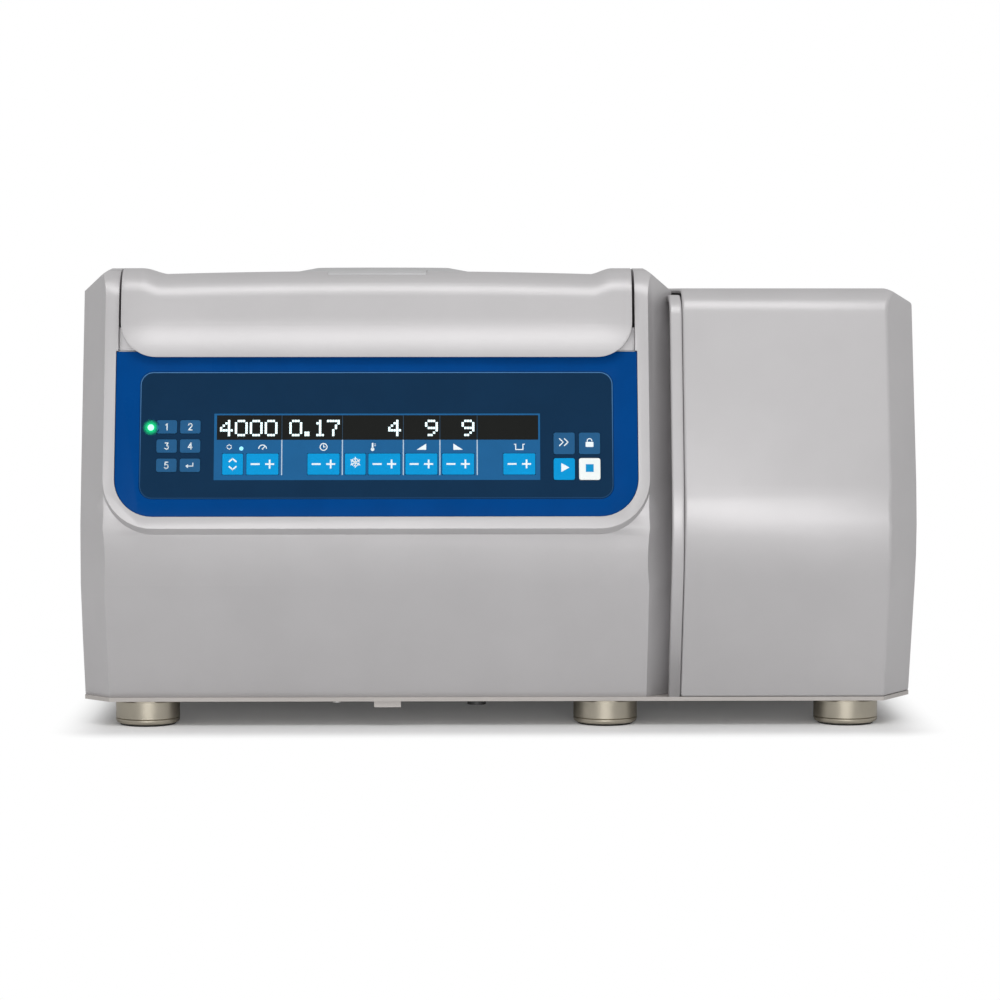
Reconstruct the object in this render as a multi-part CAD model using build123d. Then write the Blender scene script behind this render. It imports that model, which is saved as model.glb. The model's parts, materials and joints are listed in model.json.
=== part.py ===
from build123d import *
import math
import os

# All lengths are millimetres. X runs to the right seen from the front, the front faces -Y, Z is up,
# and the origin lies on the table under the middle of the whole instrument.

# ---- Driving dimensions: outer form ----
OVERALL_WIDTH = 623.0
COOLING_WIDTH = 181.5        # right-hand unit, the drive unit takes the rest
FRONT_SPACE = 55.5           # from the front to the guard ring round the chamber
REAR_SPACE = 145.5           # from the guard ring to the back
SIDE_SPACE = 14.75           # from the guard ring to the drive unit's sides
FOOT_HEIGHT = 19.0
TRAY_THICKNESS = 3.0
BELLY_HEIGHT = 129.5         # from the casing's lower edge to the panel rim's foremost edge
BELLY_RADIUS = 130.0
UPPER_LEAN = 14.0            # degrees, how far the front leans back above the belly
LOWER_LEAN = 20.0            # degrees, how far it draws in below the belly
CHEEK_TOP = 342.0
COOLING_TOP = 327.0
CASING_WALL = 4.0
DRIVE_SETBACK = 3.0          # the drive unit's front lies this far behind its raised rim
CORNER_FACET_WIDTH = 20.0
CORNER_FACET_DEPTH = 36.0
BOTTOM_FACET_DEPTH = 20.0     # the same facet at the foot of the drive unit
COOLING_FACET_WIDTH = 24.0
COOLING_FACET_DEPTH = 38.0
SHOULDER_WIDTH = 22.0
SHOULDER_HEIGHT = 17.0
COOLING_SHOULDER_WIDTH = 22.0
COOLING_SHOULDER_HEIGHT = 11.0
CHEEK_FRONT_ROUND = 30.0
RIM_TOP_DEPTH = 32.5         # of the panel's rim, along the top of a cheek
COOLING_FRONT_ROUND = 26.0
BULKHEAD_THICKNESS = 3.6
BULKHEAD_INSET = 1.6
BULKHEAD_DROP = 5.0             # bulkhead's top below the cooling unit's
SEAM_GAP = 1.5
ASSEMBLY_GAP = 0.4           # between covers that are screwed together

# ---- Driving dimensions: lid and its well ----
CHEEK_WIDTH = 29.85          # from the drive unit's side to the lid well
LID_SIDE_GAP = 2.4
LID_WALL = 3.5
LID_SCOOP = 3.0              # the lid's middle lies this much below its two raised ends
LID_SCOOP_FLANK = 12.0
LID_END_BAND = 14.0          # width of each raised end
LID_PROUD = 10.4             # how far the nose stands in front of the panel plane
LID_BELLY_TOP = 308.0        # below this height the nose is convex
LID_BELLY_RADIUS = 80.0
LID_NOSE_ROUND = 26.0
LID_CORNER_ROUND = 26.0
LID_LIP_THICKNESS = 3.4
LID_LIP_BOTTOM = 276.5
LID_BOTTOM = 284.4
LID_OPEN_ANGLE = 72.0        # degrees
HINGE_SETBACK = 74.5         # hinge axis in front of the back
LID_END_RADIUS = 40.0        # the rear end is round about the hinge axis
HINGE_GAP = 2.0
TROUGH_WALL = 3.5
LEDGE_TOP = 281.0
LEDGE_THICKNESS = 3.5
SILL_TOP = 298.0
SILL_SETBACK = 47.0          # sill behind the front
WELL_WALL = 3.5
LINER_THICKNESS = 2.0
PORT_RADIUS = 68.5
PORT_HEIGHT = 4.5
PORT_EDGE = 1.6              # height of the ring's outer edge
PORT_SLOPE = 16.0            # width of the slope inside that edge
PORT_WINDOW_RADIUS = 30.0
PORT_SEAT = 0.05             # between the ring and the lid
TONGUE_WIDTH = 73.0          # plate that runs forward from the ring over the nose
TONGUE_THICKNESS = 1.8
TONGUE_SETBACK = 18.0        # its front edge behind the nose
PIN_RADIUS = 6.0
RUNNING_CLEARANCE = 0.05
ARM_THICKNESS = 6.0
ARM_LENGTH = 110.0
ARM_HEIGHT = 14.0
BRACKET_THICKNESS = 3.0
SPRING_WIRE = 2.6

# ---- Driving dimensions: control panel, measured in its leaning plane ----
RIM_CORNER = 37.0
RIM_DRAFT = 20.0             # degrees of slope on the rim's outer edge
BEZEL_OVERLAP = 1.3          # bezel's side beyond the lid well's
BEZEL_BOTTOM = 9.2
BEZEL_CORNER = 28.0
BEZEL_THICKNESS = 3.7
BEZEL_SUNK = 0.8
BEZEL_BORDER = 18.2
OVERLAY_BOTTOM = 22.6
OVERLAY_TOP = 117.5
OVERLAY_CORNER = 9.5
OVERLAY_THICKNESS = 2.2
OVERLAY_SUNK = 1.0
OVERLAY_SEAT = 4.0           # width of the shelf that carries the overlay
FIT_GAP = 0.25
KEY_PROUD = 0.25
KEY_TRAVEL = 0.35
KEY_TILT = 1.2               # degrees each way on a rocking key
KEY_CORNER = 1.6
TILE_CORNER = 0.8
KEY_STEM_RADIUS = 2.2
BOARD_DEPTH = 9.6            # from the panel plane to the board's front
BOARD_THICKNESS = 1.6
SWITCH_GAP = 0.5

# ---- Driving dimensions: chamber, drive and rotor ----
DECK_TOP = 272.0
DECK_THICKNESS = 4.0
DECK_HINGE_SPACE = 33.0      # from the deck's rear edge to the hinge axis
DECK_HOLE_MARGIN = 6.0       # deck's hole beyond the bowl's
BOWL_WALL = 1.5
BOWL_FLOOR = 88.0
BOWL_CORNER = 25.0
BOWL_FLANGE_WIDTH = 18.0
BOWL_NECK_RADIUS = 36.0
SEAL_MARGIN = 4.0            # seal's inside beyond the bowl's
SEAL_WIDTH = 10.0
GUARD_WALL = 6.0
FOAM_THICKNESS = 17.0
COIL_SPACE = 11.0            # between the bowl's inside and the foam
FOAM_FLOOR = 60.0
FOAM_FLOOR_THICKNESS = 20.0
FOAM_NECK_RADIUS = 75.0
COIL_TUBE_RADIUS = 4.0
COIL_TURNS = 7
COIL_PITCH = 22.0
COIL_FIRST = 100.0
MOTOR_RADIUS = 62.0
MOTOR_BOTTOM = 17.5
MOTOR_TOP = 82.0
MOTOR_NECK_RADIUS = 30.0
MOTOR_NECK_TOP = 112.0
MOTOR_FLANGE_RADIUS = 106.0
MOTOR_FLANGE_THICKNESS = 4.0
MOUNT_CIRCLE_RADIUS = 95.0
MOUNT_RADIUS = 9.0
MOUNT_HEIGHT = 12.0
SHAFT_RADIUS = 8.0
SHAFT_TOP = 188.0
DISH_RADIUS = 80.0
DISH_DEPTH = 6.5
ROTOR_SPACE = 22.0           # between the rotor and the bowl
ROTOR_WALL = 4.0
ROTOR_FLOOR = 118.0
ROTOR_FLOOR_THICKNESS = 3.0
ROTOR_TOP = 200.0
ROTOR_CORNER = 12.0
HUB_RADIUS = 22.0
HUB_POST_RADIUS = 6.0
HUB_POST_HEIGHT = 14.0
STATION_COUNT = 8
CARRIER_SETBACK = 22.0       # slide's face inside the rotor's outside
CARRIER_WIDTH = 30.0
CARRIER_PLATE = 1.5
CHAMBER_DEPTH = 13.0
CHAMBER_WIDTH = 25.0
CHAMBER_HEIGHT = 34.0
FUNNEL_RADIUS = 9.0
ROTOR_LID_THICKNESS = 2.5
ROTOR_LID_DOME = 6.0
KNOB_RADIUS = 19.0
KNOB_HEIGHT = 17.0
SEATING_GAP = 0.3            # between resting pieces on different bodies

# ---- Driving dimensions: lid lock ----
LOCK_SIDE_SPACE = 38.5       # lock inside the lid's side
LOCK_SETBACK = 3.5           # lock's axis behind the sill
LOCK_AXIS_Z = 246.0
LOCK_SHAFT_RADIUS = 3.0
CLAW_INNER = 16.0
CLAW_OUTER = 20.0
CLAW_THICKNESS = 7.0
CLAW_SWING = 40.0            # degrees from unlocked to locked
CLAW_TIP_UNLOCKED = 65.0     # degrees up from straight back
CLAW_SPAN = 72.0
STRIKER_SETBACK = 16.5       # striker behind the sill
STRIKER_THICKNESS = 3.0
STRIKER_WIDTH = 18.0
STRIKER_WINDOW = 10.0
LOCK_CHEEK = 3.0

# ---- Driving dimensions: cooling unit, electrics and feet ----
COMPRESSOR_FORWARD = 25.0    # compressor in front of the spin axis
COMPRESSOR_SIDE_SPACE = 28.75
COMPRESSOR_BOTTOM = 36.0
COMPRESSOR_TOP = 200.0
INVERTER_LENGTH = 85.0
INVERTER_FRONT_SPACE = 73.5
INVERTER_BOTTOM = 60.0
FAN_Z = 150.0
FAN_FRAME = 10.0             # fan's duct inside its square plate
FAN_BLADES = 7
FAN_TIP_GAP = 4.0
SHROUD_SIDE_SPACE = 10.75
CONDENSER_SETBACK = 48.5     # condenser's face in front of the back
CONDENSER_DEPTH = 28.0
CONDENSER_FINS = 26
FOOT_RADIUS = 24.0
FOOT_PAD_HEIGHT = 1.2
FOOT_PAD_INSET = 2.6
FOOT_GROOVE = 3.6             # above the foot's lower edge
FOOT_SIDE_SPACE = 50.0       # feet in from each unit's side
FOOT_FRONT_SPACE = 65.0
FOOT_BACK_SPACE = 58.5
REAR_PANEL_THICKNESS = 2.0
REAR_RECESS = 4.5
GRILLE_SLOT_HEIGHT = 5.0
GRILLE_PITCH = 12.0
GRILLE_COUNT = 15
INLET_SIDE_SPACE = 79.5
SWITCH_SPACING = 54.0
ELECTRIC_Z = 62.0
RELEASE_OFFSET = 73.75       # right of the drive unit's middle
RELEASE_SETBACK = 61.5
RELEASE_TRAVEL = 12.0
SCREW_HEAD_RADIUS = 4.0
SCREW_HEAD_HEIGHT = 2.2
TRAY_SCREW_OFFSET = 31.25    # left of the drive unit's middle
TRAY_SCREW_SETBACK = 56.5
PANEL_SCREW_INSET = 16.0

# ---- Places worked out from the driving dimensions ----
DRIVE_WIDTH = OVERALL_WIDTH - COOLING_WIDTH
GUARD_OUTER = DRIVE_WIDTH / 2 - SIDE_SPACE
OVERALL_DEPTH = FRONT_SPACE + 2 * GUARD_OUTER + REAR_SPACE
LEFT = -OVERALL_WIDTH / 2
RIGHT = OVERALL_WIDTH / 2
FRONT = -OVERALL_DEPTH / 2
BACK = OVERALL_DEPTH / 2
SPLIT = LEFT + DRIVE_WIDTH
MIDDLE = (LEFT + SPLIT) / 2
BASE = FOOT_HEIGHT + TRAY_THICKNESS
BELLY_Z = BASE + BELLY_HEIGHT
UPPER = math.radians(UPPER_LEAN)
LOWER = math.radians(LOWER_LEAN)
ARC_Y = FRONT + BELLY_RADIUS / math.cos(UPPER)
COOLING_LEFT = SPLIT + ASSEMBLY_GAP + BULKHEAD_THICKNESS + SEAM_GAP
WELL_HALF = DRIVE_WIDTH / 2 - CHEEK_WIDTH
LID_HALF = WELL_HALF - LID_SIDE_GAP
HINGE_Y = BACK - HINGE_SETBACK
SILL_BACK = FRONT + SILL_SETBACK
BEZEL_HALF = WELL_HALF + BEZEL_OVERLAP
OVERLAY_HALF = BEZEL_HALF - BEZEL_BORDER
SPIN_Y = FRONT + FRONT_SPACE + GUARD_OUTER
FOAM_INNER = GUARD_OUTER - GUARD_WALL - FOAM_THICKNESS
BOWL_RADIUS = FOAM_INNER - COIL_SPACE
BOWL_FLANGE_RADIUS = BOWL_RADIUS + BOWL_FLANGE_WIDTH
DECK_HOLE_RADIUS = BOWL_RADIUS + DECK_HOLE_MARGIN
DECK_BACK = HINGE_Y - DECK_HINGE_SPACE
SEAL_INNER = BOWL_RADIUS + SEAL_MARGIN
SEAL_OUTER = SEAL_INNER + SEAL_WIDTH
ROTOR_RADIUS = BOWL_RADIUS - ROTOR_SPACE
CARRIER_RADIUS = ROTOR_RADIUS - CARRIER_SETBACK
LOCK_HALF_SPAN = LID_HALF - LOCK_SIDE_SPACE
LOCK_AXIS_Y = SILL_BACK + LOCK_SETBACK
STRIKER_Y = SILL_BACK + STRIKER_SETBACK
SHROUD_HALF = COOLING_WIDTH / 2 - SHROUD_SIDE_SPACE
FAN_X = (COOLING_LEFT + RIGHT) / 2 - 2.5
FAN_RADIUS = SHROUD_HALF - FAN_FRAME
CONDENSER_FRONT = BACK - CONDENSER_SETBACK
COMPRESSOR_X = FAN_X + 1.0
COMPRESSOR_Y = SPIN_Y - COMPRESSOR_FORWARD
COMPRESSOR_RADIUS = COOLING_WIDTH / 2 - COMPRESSOR_SIDE_SPACE
GRILLE_SLOT_LENGTH = 1.77 * FAN_RADIUS
FOOT_X = (LEFT + FOOT_SIDE_SPACE - 3.0, SPLIT - FOOT_SIDE_SPACE, RIGHT - FOOT_SIDE_SPACE)
FOOT_Y = (FRONT + FOOT_FRONT_SPACE, BACK - FOOT_BACK_SPACE)
INLET_X = LEFT + INLET_SIDE_SPACE
SWITCH_X = INLET_X + SWITCH_SPACING
RELEASE_X = MIDDLE + RELEASE_OFFSET
RELEASE_Y = FRONT + RELEASE_SETBACK
TRAY_SCREW_X = MIDDLE - TRAY_SCREW_OFFSET
TRAY_SCREW_Y = FRONT + TRAY_SCREW_SETBACK
HINGE_Z = CHEEK_TOP - LID_END_RADIUS
LID_TOP = CHEEK_TOP - LID_SCOOP
TROUGH_RADIUS = LID_END_RADIUS + HINGE_GAP
BOWL_FLANGE_TOP = DECK_TOP + BOWL_WALL
REAR_FACE = BACK - REAR_RECESS
SWITCH_DEPTH = BOARD_DEPTH - SWITCH_GAP


# ---- Small helpers ----
def block(x0, x1, y0, y1, z0, z1):
    """Box between its lowest and highest corners."""
    return Pos((x0 + x1) / 2, (y0 + y1) / 2, (z0 + z1) / 2) * Box(x1 - x0, y1 - y0, z1 - z0)


def upright(x, y, z0, z1, radius):
    """Vertical cylinder."""
    return Pos(x, y, (z0 + z1) / 2) * Cylinder(radius, z1 - z0)


def rod_x(x0, x1, y, z, radius):
    """Cylinder along X."""
    return Pos((x0 + x1) / 2, y, z) * Rot(0, 90, 0) * Cylinder(radius, x1 - x0)


def rod_y(x, y0, y1, z, radius):
    """Cylinder along Y."""
    return Pos(x, (y0 + y1) / 2, z) * Rot(90, 0, 0) * Cylinder(radius, y1 - y0)


def across(face, x0, x1):
    """Carries a face drawn in (y, z) from x0 to x1."""
    return extrude(Plane.YZ.offset(x0) * face, x1 - x0, dir=(1, 0, 0))


def spun(points, x=MIDDLE, y=SPIN_Y):
    """Turns an outline of (radius, z) points about a vertical axis."""
    face = make_face(Polyline(*points, close=True))
    return Pos(x, y, 0) * revolve(Plane.XZ * face, Axis.Z)


def around(piece, count, x=MIDDLE, y=SPIN_Y, first=0.0):
    """Copies of a piece that is modelled about the Z axis, set evenly round a vertical axis."""
    return [Pos(x, y, 0) * Rot(0, 0, first + 360 * i / count) * piece for i in range(count)]


def save(name, pieces):
    """Writes one node: a solid or a group of separate solids."""
    group = pieces if isinstance(pieces, list) else [pieces]
    solids = [solid for piece in group for solid in piece.solids()]
    shape = solids[0] if len(solids) == 1 else Compound(children=solids)
    export_step(shape, f"parts/{name}.step")


# ---- The belly-shaped casing form ----
def front_y(z, inset=0.0):
    """Y of the front surface at a height, set back by inset: straight, arc, straight."""
    radius = BELLY_RADIUS - inset
    rise = z - BELLY_Z
    if rise > radius * math.sin(UPPER):
        start = ARC_Y - radius * math.cos(UPPER)
        return start + (rise - radius * math.sin(UPPER)) * math.tan(UPPER)
    if rise < -radius * math.sin(LOWER):
        start = ARC_Y - radius * math.cos(LOWER)
        return start - (rise + radius * math.sin(LOWER)) * math.tan(LOWER)
    return ARC_Y - math.sqrt(radius ** 2 - rise ** 2)


def side_face(inset, low, high, back, top_round=0.0):
    """Closed side view of the casing between two heights, in (y, z)."""
    radius = BELLY_RADIUS - inset
    upper = (ARC_Y - radius * math.cos(UPPER), BELLY_Z + radius * math.sin(UPPER))
    lower = (ARC_Y - radius * math.cos(LOWER), BELLY_Z - radius * math.sin(LOWER))
    top = (front_y(high, inset), high)
    bottom = (front_y(low, inset), low)
    face = make_face([
        Line(bottom, lower),
        ThreePointArc(lower, (ARC_Y - radius, BELLY_Z), upper),
        Line(upper, top),
        Line(top, (back, high)),
        Line((back, high), (back, low)),
        Line((back, low), bottom),
    ])
    if top_round:
        corner = face.vertices().sort_by_distance(Vector(top[0], top[1], 0))[0]
        face = fillet(corner, top_round)
    return face


def corner_wedge(x_side, inward, inset, width, depths):
    """What a slanted front corner takes away: a ruled solid through one triangle per height."""
    extra = 0.25
    triangles = []
    for z, depth in depths:
        y = front_y(z, inset)
        outer_x = x_side - inward * extra * width
        inner_x = x_side + inward * (1 + extra) * width
        near_y = y - extra * depth
        far_y = y + (1 + extra) * depth
        outline = Polyline((outer_x, far_y), (inner_x, near_y), (outer_x, near_y), close=True)
        triangles.append(Plane.XY.offset(z) * make_face(outline))
    return loft(triangles, ruled=True)


def shoulder_wedge(x_side, inward, top, width, height):
    """What the slope between a side and the top takes away."""
    extra = 0.3
    outline = Polyline(
        (x_side - inward * extra * width, top - (1 + extra) * height),
        (x_side + inward * (1 + extra) * width, top + extra * height),
        (x_side - inward * extra * width, top + extra * height),
        close=True,
    )
    face = Plane.XZ.offset(-2 * BACK) * make_face(outline)
    return extrude(face, 4 * BACK, dir=(0, -1, 0))


DRIVE_FACET_DEPTHS = (
    (0.0, BOTTOM_FACET_DEPTH),
    (BASE + BELLY_HEIGHT / 3, BOTTOM_FACET_DEPTH + 1.0),
    (BASE + BELLY_HEIGHT * 2 / 3, BOTTOM_FACET_DEPTH + 5.0),
    (BELLY_Z, CORNER_FACET_DEPTH - 3.0),
    (BELLY_Z + BELLY_RADIUS * math.sin(UPPER), CORNER_FACET_DEPTH),
    (CHEEK_TOP + 30.0, CORNER_FACET_DEPTH),
)
COOLING_FACET_DEPTHS = (
    (0.0, COOLING_FACET_DEPTH),
    (BELLY_Z - BELLY_RADIUS * math.sin(LOWER), COOLING_FACET_DEPTH),
    (BELLY_Z - BELLY_RADIUS * math.sin(LOWER) / 2, COOLING_FACET_DEPTH),
    (BELLY_Z, COOLING_FACET_DEPTH),
    (BELLY_Z + BELLY_RADIUS * math.sin(UPPER), COOLING_FACET_DEPTH),
    (CHEEK_TOP + 30.0, COOLING_FACET_DEPTH),
)


def drive_form(front_inset, side_inset, top, back, bottom, top_round=0.0):
    """The drive unit's outer or inner form."""
    form = across(
        side_face(front_inset, bottom, top, back, top_round), LEFT + side_inset, SPLIT - side_inset
    )
    for x_side, inward in ((LEFT + side_inset, 1), (SPLIT - side_inset, -1)):
        form -= corner_wedge(x_side, inward, front_inset, CORNER_FACET_WIDTH, DRIVE_FACET_DEPTHS)
        form -= shoulder_wedge(x_side, inward, top, SHOULDER_WIDTH, SHOULDER_HEIGHT)
    return form


def cooling_form(left, inset, back, bottom, top_round=0.0):
    """The cooling unit's outer or inner form, open-ended on its left."""
    right = RIGHT - inset
    top = COOLING_TOP - inset
    form = across(side_face(inset, bottom, top, back, top_round), left, right)
    form -= corner_wedge(right, -1, inset, COOLING_FACET_WIDTH, COOLING_FACET_DEPTHS)
    form -= shoulder_wedge(right, -1, top, COOLING_SHOULDER_WIDTH, COOLING_SHOULDER_HEIGHT)
    return form


# ---- The control panel's leaning plane ----
PANEL_ORIGIN = (MIDDLE, FRONT, BELLY_Z)
LEDGE_V = (LEDGE_TOP - BELLY_Z) / math.cos(UPPER)
BEZEL_TOP = LEDGE_V - ASSEMBLY_GAP
RIM_HALF = DRIVE_WIDTH / 2 - CORNER_FACET_WIDTH


def panel_plane(depth=0.0):
    """Plane parallel to the panel, depth behind it. Local x is to the right, local y up the panel."""
    outward = Vector(0, -math.cos(UPPER), math.sin(UPPER))
    return Plane(Vector(*PANEL_ORIGIN) - outward * depth, x_dir=(1, 0, 0), z_dir=outward)


def rounded_patch(u0, u1, v0, v1, radius):
    """Rectangle in the panel plane with all four corners round."""
    return Pos((u0 + u1) / 2, (v0 + v1) / 2) * RectangleRounded(u1 - u0, v1 - v0, radius)


def round_bottom_patch(half, v0, v1, radius):
    """Rectangle in the panel plane with only its two lower corners round."""
    lower = rounded_patch(-half, half, v0, v0 + 3 * radius, radius)
    middle = (v0 + radius + v1) / 2
    return lower + Pos(0, middle) * Rectangle(2 * half, v1 - v0 - radius)


def panel_solid(patch, front_depth, back_depth):
    """Carries a patch of the panel plane between two depths behind the panel."""
    return extrude(panel_plane(back_depth) * patch, back_depth - front_depth)


# ---- Outer covers ----
def raised_rim():
    """Plate that frames the control panel and both cheeks, with a sloped outer edge."""
    inward = Vector(0, math.cos(UPPER), -math.sin(UPPER))
    plane = Plane(Vector(*PANEL_ORIGIN), x_dir=(1, 0, 0), z_dir=inward)
    height = (CHEEK_TOP + 20.0 - BELLY_Z) / math.cos(UPPER)
    patch = mirror(round_bottom_patch(RIM_HALF, 0.0, height, RIM_CORNER), about=Plane.XZ)
    plate = extrude(plane * patch, DRIVE_SETBACK + 3 * CASING_WALL, taper=-RIM_DRAFT)
    top_y = FRONT + (CHEEK_TOP - BELLY_Z) * math.tan(UPPER)
    low_z = BELLY_Z - 2 * CASING_WALL
    profile = make_face(Polyline(
        (top_y, CHEEK_TOP), (top_y + RIM_TOP_DEPTH, CHEEK_TOP), (top_y + RIM_TOP_DEPTH, low_z),
        (FRONT - (BELLY_Z - low_z) * math.tan(UPPER), low_z), close=True,
    ))
    corner = profile.vertices().sort_by_distance(Vector(top_y, CHEEK_TOP, 0))[0]
    limits = across(fillet(corner, CHEEK_FRONT_ROUND), LEFT, SPLIT)
    for x_side, inward_x in ((LEFT, 1), (SPLIT, -1)):
        limits -= shoulder_wedge(x_side, inward_x, CHEEK_TOP, SHOULDER_WIDTH, SHOULDER_HEIGHT)
    return plate & limits


def drive_outer():
    """The drive unit's outer form: set-back body with the raised rim on it."""
    return drive_form(DRIVE_SETBACK, 0.0, CHEEK_TOP, BACK, BASE, CHEEK_FRONT_ROUND) + raised_rim()


def hinge_trough():
    """Rear cover and the round trough that the lid's rear end turns in, as one bent wall."""
    lean = math.radians(90 - LID_OPEN_ANGLE)
    trough_end = math.radians(-133.0)
    outer = TROUGH_RADIUS + TROUGH_WALL

    def on_circle(radius, angle):
        return (HINGE_Y + radius * math.cos(angle), HINGE_Z + radius * math.sin(angle))

    def on_slope(distance, z):
        rise = z - HINGE_Z
        return (HINGE_Y + (distance - rise * math.sin(lean)) / math.cos(lean), z)

    middle = (lean + trough_end) / 2
    face = make_face([
        Line((BACK, LID_TOP), on_slope(TROUGH_RADIUS, LID_TOP)),
        Line(on_slope(TROUGH_RADIUS, LID_TOP), on_circle(TROUGH_RADIUS, lean)),
        ThreePointArc(
            on_circle(TROUGH_RADIUS, lean),
            on_circle(TROUGH_RADIUS, middle),
            on_circle(TROUGH_RADIUS, trough_end),
        ),
        Line(on_circle(TROUGH_RADIUS, trough_end), on_circle(outer, trough_end)),
        ThreePointArc(
            on_circle(outer, trough_end), on_circle(outer, middle), on_circle(outer, lean)
        ),
        Line(on_circle(outer, lean), on_slope(outer, LID_TOP - CASING_WALL)),
        Line(on_slope(outer, LID_TOP - CASING_WALL), (BACK, LID_TOP - CASING_WALL)),
        Line((BACK, LID_TOP - CASING_WALL), (BACK, LID_TOP)),
    ])
    return across(face, MIDDLE - WELL_HALF - WELL_WALL / 2, MIDDLE + WELL_HALF + WELL_WALL / 2)


def main_casing():
    """Drive unit casing: moulded shell with cheeks, sill, ledge and rear cover in one piece."""
    outer = drive_outer()
    inner = drive_form(
        DRIVE_SETBACK + CASING_WALL, CASING_WALL, CHEEK_TOP - CASING_WALL, BACK + 10.0, BASE - 10.0,
        CHEEK_FRONT_ROUND - CASING_WALL,
    )
    well = block(
        MIDDLE - WELL_HALF, MIDDLE + WELL_HALF, FRONT - 10.0, BACK + 10.0, LEDGE_TOP, CHEEK_TOP + 10.0
    )
    shell = outer - inner - well
    outside = WELL_HALF + WELL_WALL
    wall_low = DECK_TOP - DECK_THICKNESS
    wall_back = REAR_FACE - REAR_PANEL_THICKNESS - ASSEMBLY_GAP
    inner_walls = [
        block(MIDDLE - outside, MIDDLE - WELL_HALF, FRONT, wall_back, wall_low, CHEEK_TOP),
        block(MIDDLE + WELL_HALF, MIDDLE + outside, FRONT, wall_back, wall_low, CHEEK_TOP),
    ]
    envelope = drive_outer()
    for wall in inner_walls:
        shell += wall & envelope
    ledge = block(
        MIDDLE - outside, MIDDLE + outside, FRONT, SILL_BACK, LEDGE_TOP - LEDGE_THICKNESS, LEDGE_TOP
    )
    shell += ledge & envelope
    shell += block(
        MIDDLE - outside, MIDDLE + outside, SILL_BACK - LEDGE_THICKNESS, SILL_BACK,
        LEDGE_TOP - LEDGE_THICKNESS, SILL_TOP,
    )
    shell += hinge_trough()
    bezel_back = BEZEL_SUNK + BEZEL_THICKNESS
    for half, top in ((BEZEL_HALF + FIT_GAP, LEDGE_V), (WELL_HALF, LEDGE_V + 10.0)):
        pocket = round_bottom_patch(half, BEZEL_BOTTOM - FIT_GAP, top, BEZEL_CORNER + FIT_GAP)
        shell -= panel_solid(pocket, -10.0, bezel_back)
    window = rounded_patch(
        -OVERLAY_HALF - 2.0, OVERLAY_HALF + 2.0, OVERLAY_BOTTOM - 2.0, OVERLAY_TOP + 2.0, OVERLAY_CORNER
    )
    shell -= panel_solid(window, -1.0, 3 * CASING_WALL)
    for side in (-1, 1):
        x_mid = MIDDLE + side * (WELL_HALF + WELL_WALL / 2)
        shell -= rod_x(x_mid - 6, x_mid + 6, HINGE_Y, HINGE_Z, PIN_RADIUS + FIT_GAP)
    shell -= block(SPLIT - 2 * CASING_WALL, SPLIT + 1, REAR_FACE - 3.0, BACK + 1, 0, COOLING_TOP)
    return shell - line_holes(SPLIT - 2 * CASING_WALL, SPLIT + 1)


def bulkhead():
    """Partition between the two units. Its front edge shows as a narrow strip beside the seam."""
    left = SPLIT + ASSEMBLY_GAP
    face = side_face(
        BULKHEAD_INSET, BASE, COOLING_TOP - BULKHEAD_DROP, REAR_FACE - 3.0,
        COOLING_FRONT_ROUND - BULKHEAD_DROP,
    )
    return across(face, left, left + BULKHEAD_THICKNESS) - line_holes(left - 1, left + 9)


def cooling_casing():
    """Cooling unit cover: front, right side and top in one bent shell."""
    outer = cooling_form(COOLING_LEFT, 0.0, BACK, BASE, COOLING_FRONT_ROUND)
    inner = cooling_form(COOLING_LEFT - 10.0, CASING_WALL, BACK + 10.0, BASE - 10.0,
                         COOLING_FRONT_ROUND - CASING_WALL)
    return outer - inner


def base_tray():
    """Pressed steel tray under both units, with a round dish under the motor."""
    front = front_y(BASE)
    outline = Polyline(
        (LEFT, BACK - ASSEMBLY_GAP), (LEFT, front + BOTTOM_FACET_DEPTH), (LEFT + CORNER_FACET_WIDTH, front),
        (RIGHT - COOLING_FACET_WIDTH, front), (RIGHT, front + COOLING_FACET_DEPTH),
        (RIGHT, BACK - ASSEMBLY_GAP), close=True,
    )
    tray = extrude(Plane.XY.offset(FOOT_HEIGHT) * make_face(outline), TRAY_THICKNESS)
    tray -= upright(MIDDLE, SPIN_Y, 0, BASE + 1, DISH_RADIUS)
    low = FOOT_HEIGHT - DISH_DEPTH
    wall = TRAY_THICKNESS
    flank = DISH_RADIUS - DISH_DEPTH
    tray += spun([
        (0, low), (flank, low), (DISH_RADIUS + 1, FOOT_HEIGHT),
        (DISH_RADIUS + 1, BASE), (DISH_RADIUS, BASE), (flank - 1, low + wall), (0, low + wall),
    ])
    tray += block(MIDDLE - 3.0, MIDDLE + 17.0, front + 1.0, front + 3.0, FOOT_HEIGHT - 4.5, FOOT_HEIGHT)
    return tray - upright(RELEASE_X, RELEASE_Y, 0, BASE + 1, 4.0)


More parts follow.
